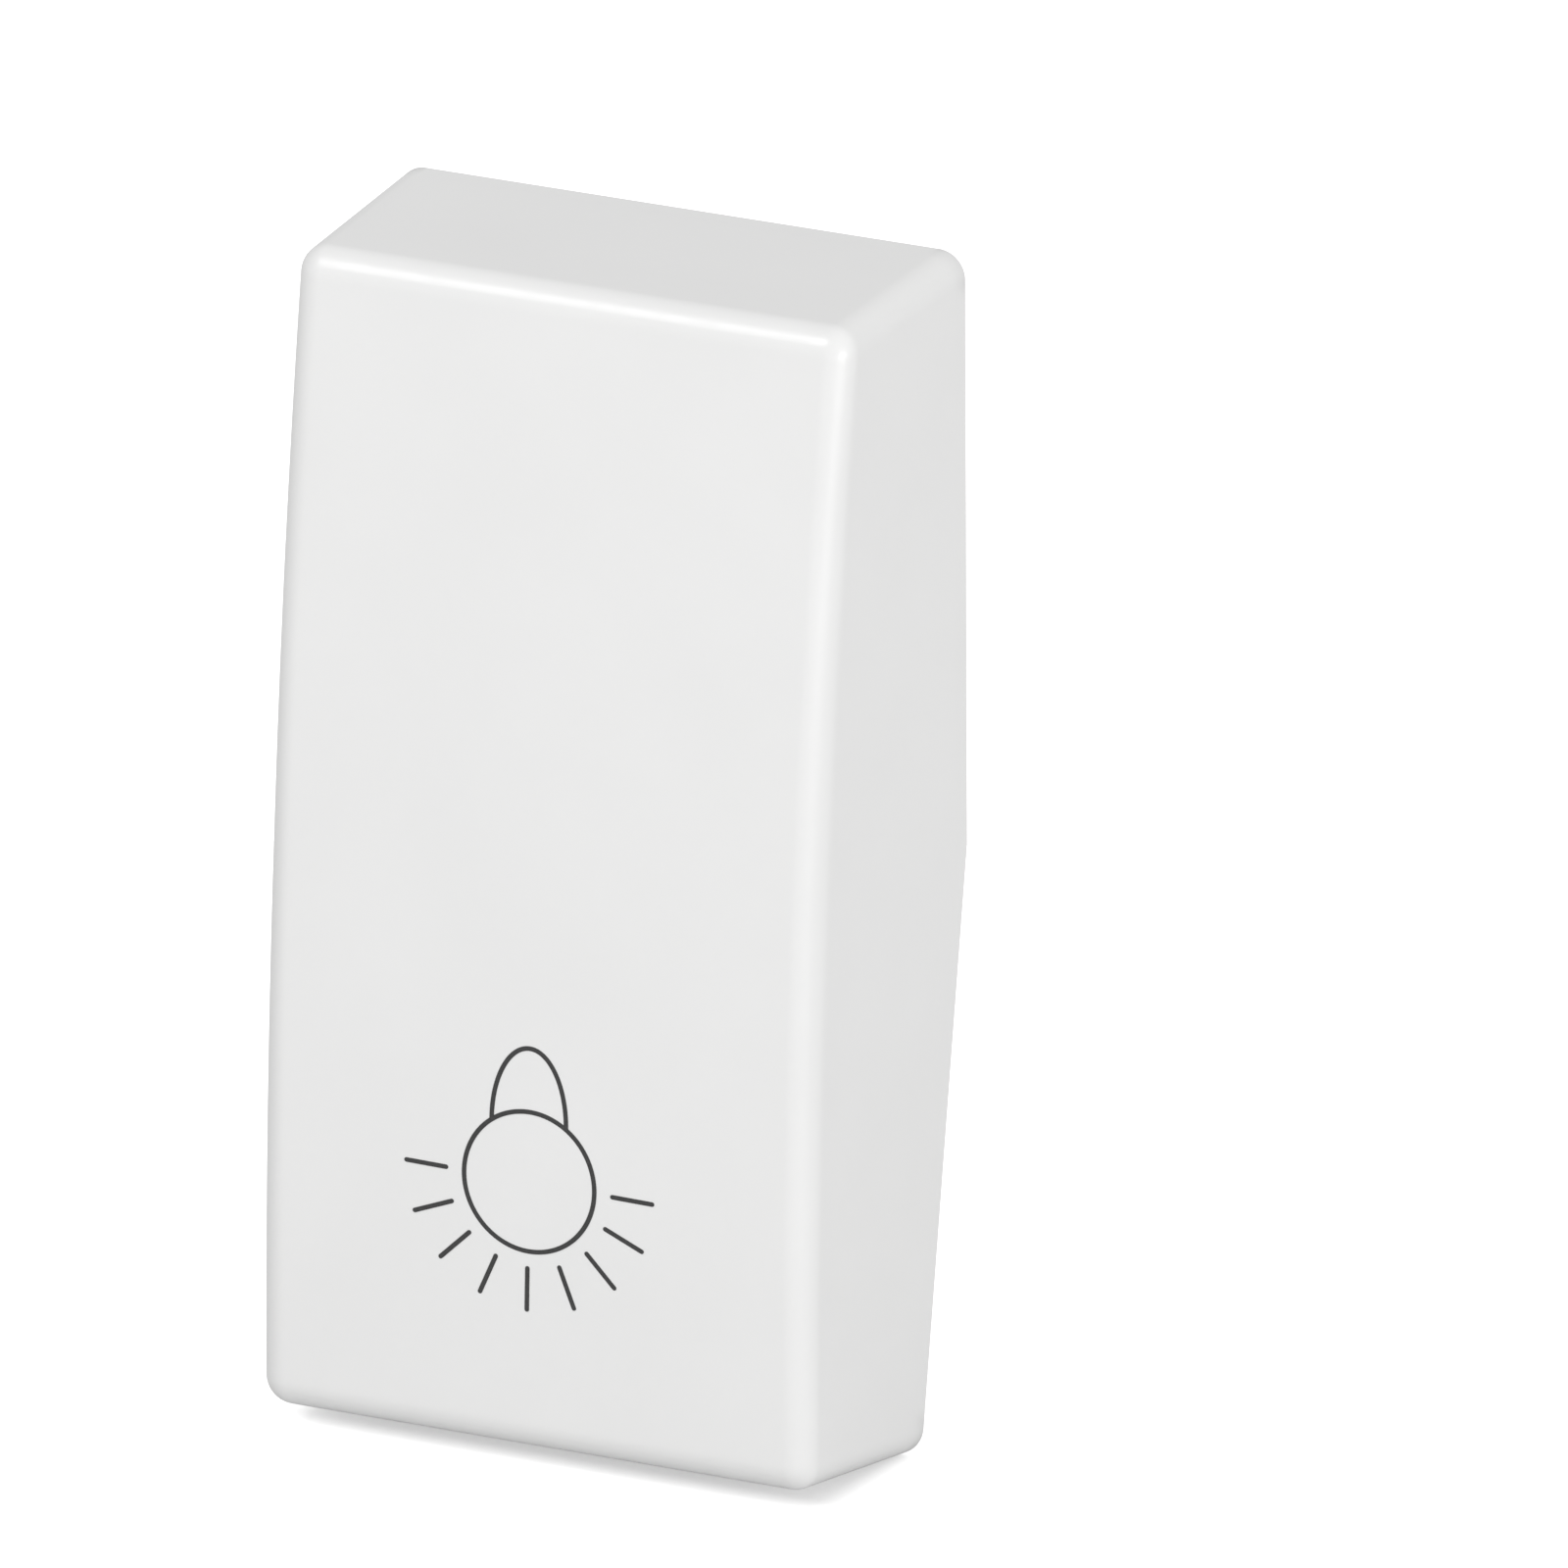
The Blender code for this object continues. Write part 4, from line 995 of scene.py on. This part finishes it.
def add_solder_ends(node, length):
    """Tinned caps on the two ends of a chip component."""
    low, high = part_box(node)
    centre = (low + high) / 2
    axis = 2 if high.z - low.z > high.x - low.x else 0
    for end in (-1, 1):
        half = (high - low) / 2 + Vector((SOLDER_PROUD, 0, SOLDER_PROUD))
        half[axis] = length / 2
        place = centre.copy()
        place[axis] += end * ((high[axis] - low[axis]) / 2 + SOLDER_PROUD - half[axis])
        bm = block(half.x, half.z, low.y - SOLDER_PROUD, high.y, (place.x, place.z))
        cap = add_piece(f"{node}_end_{'low' if end < 0 else 'high'}", bm)
        soften(cap, SOLDER_SOFT)
        show_extra(cap, node, "contact_nickel")


def make_solder_ends():
    """The tinned ends of every chip component."""
    for node in SLOT_OF:
        for start, length in SOLDER_CAPS.items():
            if node.startswith(start):
                add_solder_ends(node, length)


# Strips of copper under the solder mask, as (x, z) corners in millimetres
TRACES = (
    ((-7.2, -2.6), (-6.2, -1.6), (-6.2, 0.4), (-7.2, 1.4)),
    ((7.2, -2.6), (6.2, -1.6), (6.2, 0.4), (7.2, 1.4)),
    ((-4.6, -2.6), (-4.6, -3.2), (-3.6, -3.2)),
    ((4.6, -2.6), (4.6, -3.2), (3.6, -3.2)),
    ((-1.8, -9.2), (-3.2, -7.6), (-3.6, -7.2)),
    ((1.8, -9.2), (3.2, -7.6), (3.6, -7.2)),
    ((-1.8, -10.6), (-3.9, -10.6), (-4.6, -11.3)),
    ((1.8, -10.6), (3.4, -10.6), (3.9, -11.1)),
    ((-0.6, -11.6), (-0.6, -15.6), (-2.6, -16.6)),
    ((0.6, -11.6), (0.6, -15.6), (2.6, -16.6)),
    ((-7.4, -15.4), (-7.4, -4.2), (-6.6, -3.4)),
    ((7.4, -15.4), (7.4, -4.2), (6.6, -3.4)),
)
TRACE_WIDTH = 0.2 * MM
COPPER = 0.02 * MM
VIA_RADIUS = 0.22 * MM
VIA_HOLE = 0.1 * MM
VIA_SIDES = 20


def trace_strip(start, end, front, back):
    """A straight strip of copper between two (x, z) points."""
    run = end - start
    middle = (start + end) / 2
    bm = block(TRACE_WIDTH / 2, run.length / 2, front, back)
    turn = Matrix.Rotation(math.atan2(run.x, run.y), 4, "Y")
    place = Matrix.Translation((middle.x, 0, middle.y))
    bmesh.ops.transform(bm, matrix=place @ turn, verts=bm.verts)
    return bm


def via_ring(place, front, back):
    """A tinned ring round a small hole."""
    profile = [
        (VIA_HOLE, front),
        (VIA_RADIUS, front),
        (VIA_RADIUS, back),
        (VIA_HOLE, back),
        (VIA_HOLE, front),
    ]
    return turned(profile, place, sides=VIA_SIDES)


def make_board_copper():
    """Raised traces under the mask, each ending in a small tinned via."""
    board_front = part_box("circuit_board")[0].y
    front = board_front - COPPER
    back = board_front + COPPER
    traces = bmesh.new()
    vias = bmesh.new()
    for corners in TRACES:
        points = [Vector((x * MM, z * MM)) for x, z in corners]
        for start, end in zip(points, points[1:]):
            pour(trace_strip(start, end, front, back), traces)
        for end in (points[0], points[-1]):
            pour(via_ring(end, front - COPPER / 2, back), vias)
    show_extra(add_piece("board_traces", traces), "circuit_board", "board_green")
    show_extra(add_piece("board_vias", vias), "circuit_board", "contact_nickel")


# ---------------------------------------------------------------- assembly

make_camera()
make_light()
make_floor()
make_rocker_key()
make_lamp_symbol()
make_refined_pieces()
make_return_spring()
make_switch_dome()
make_coin_cell()
make_solder_ends()
make_board_copper()
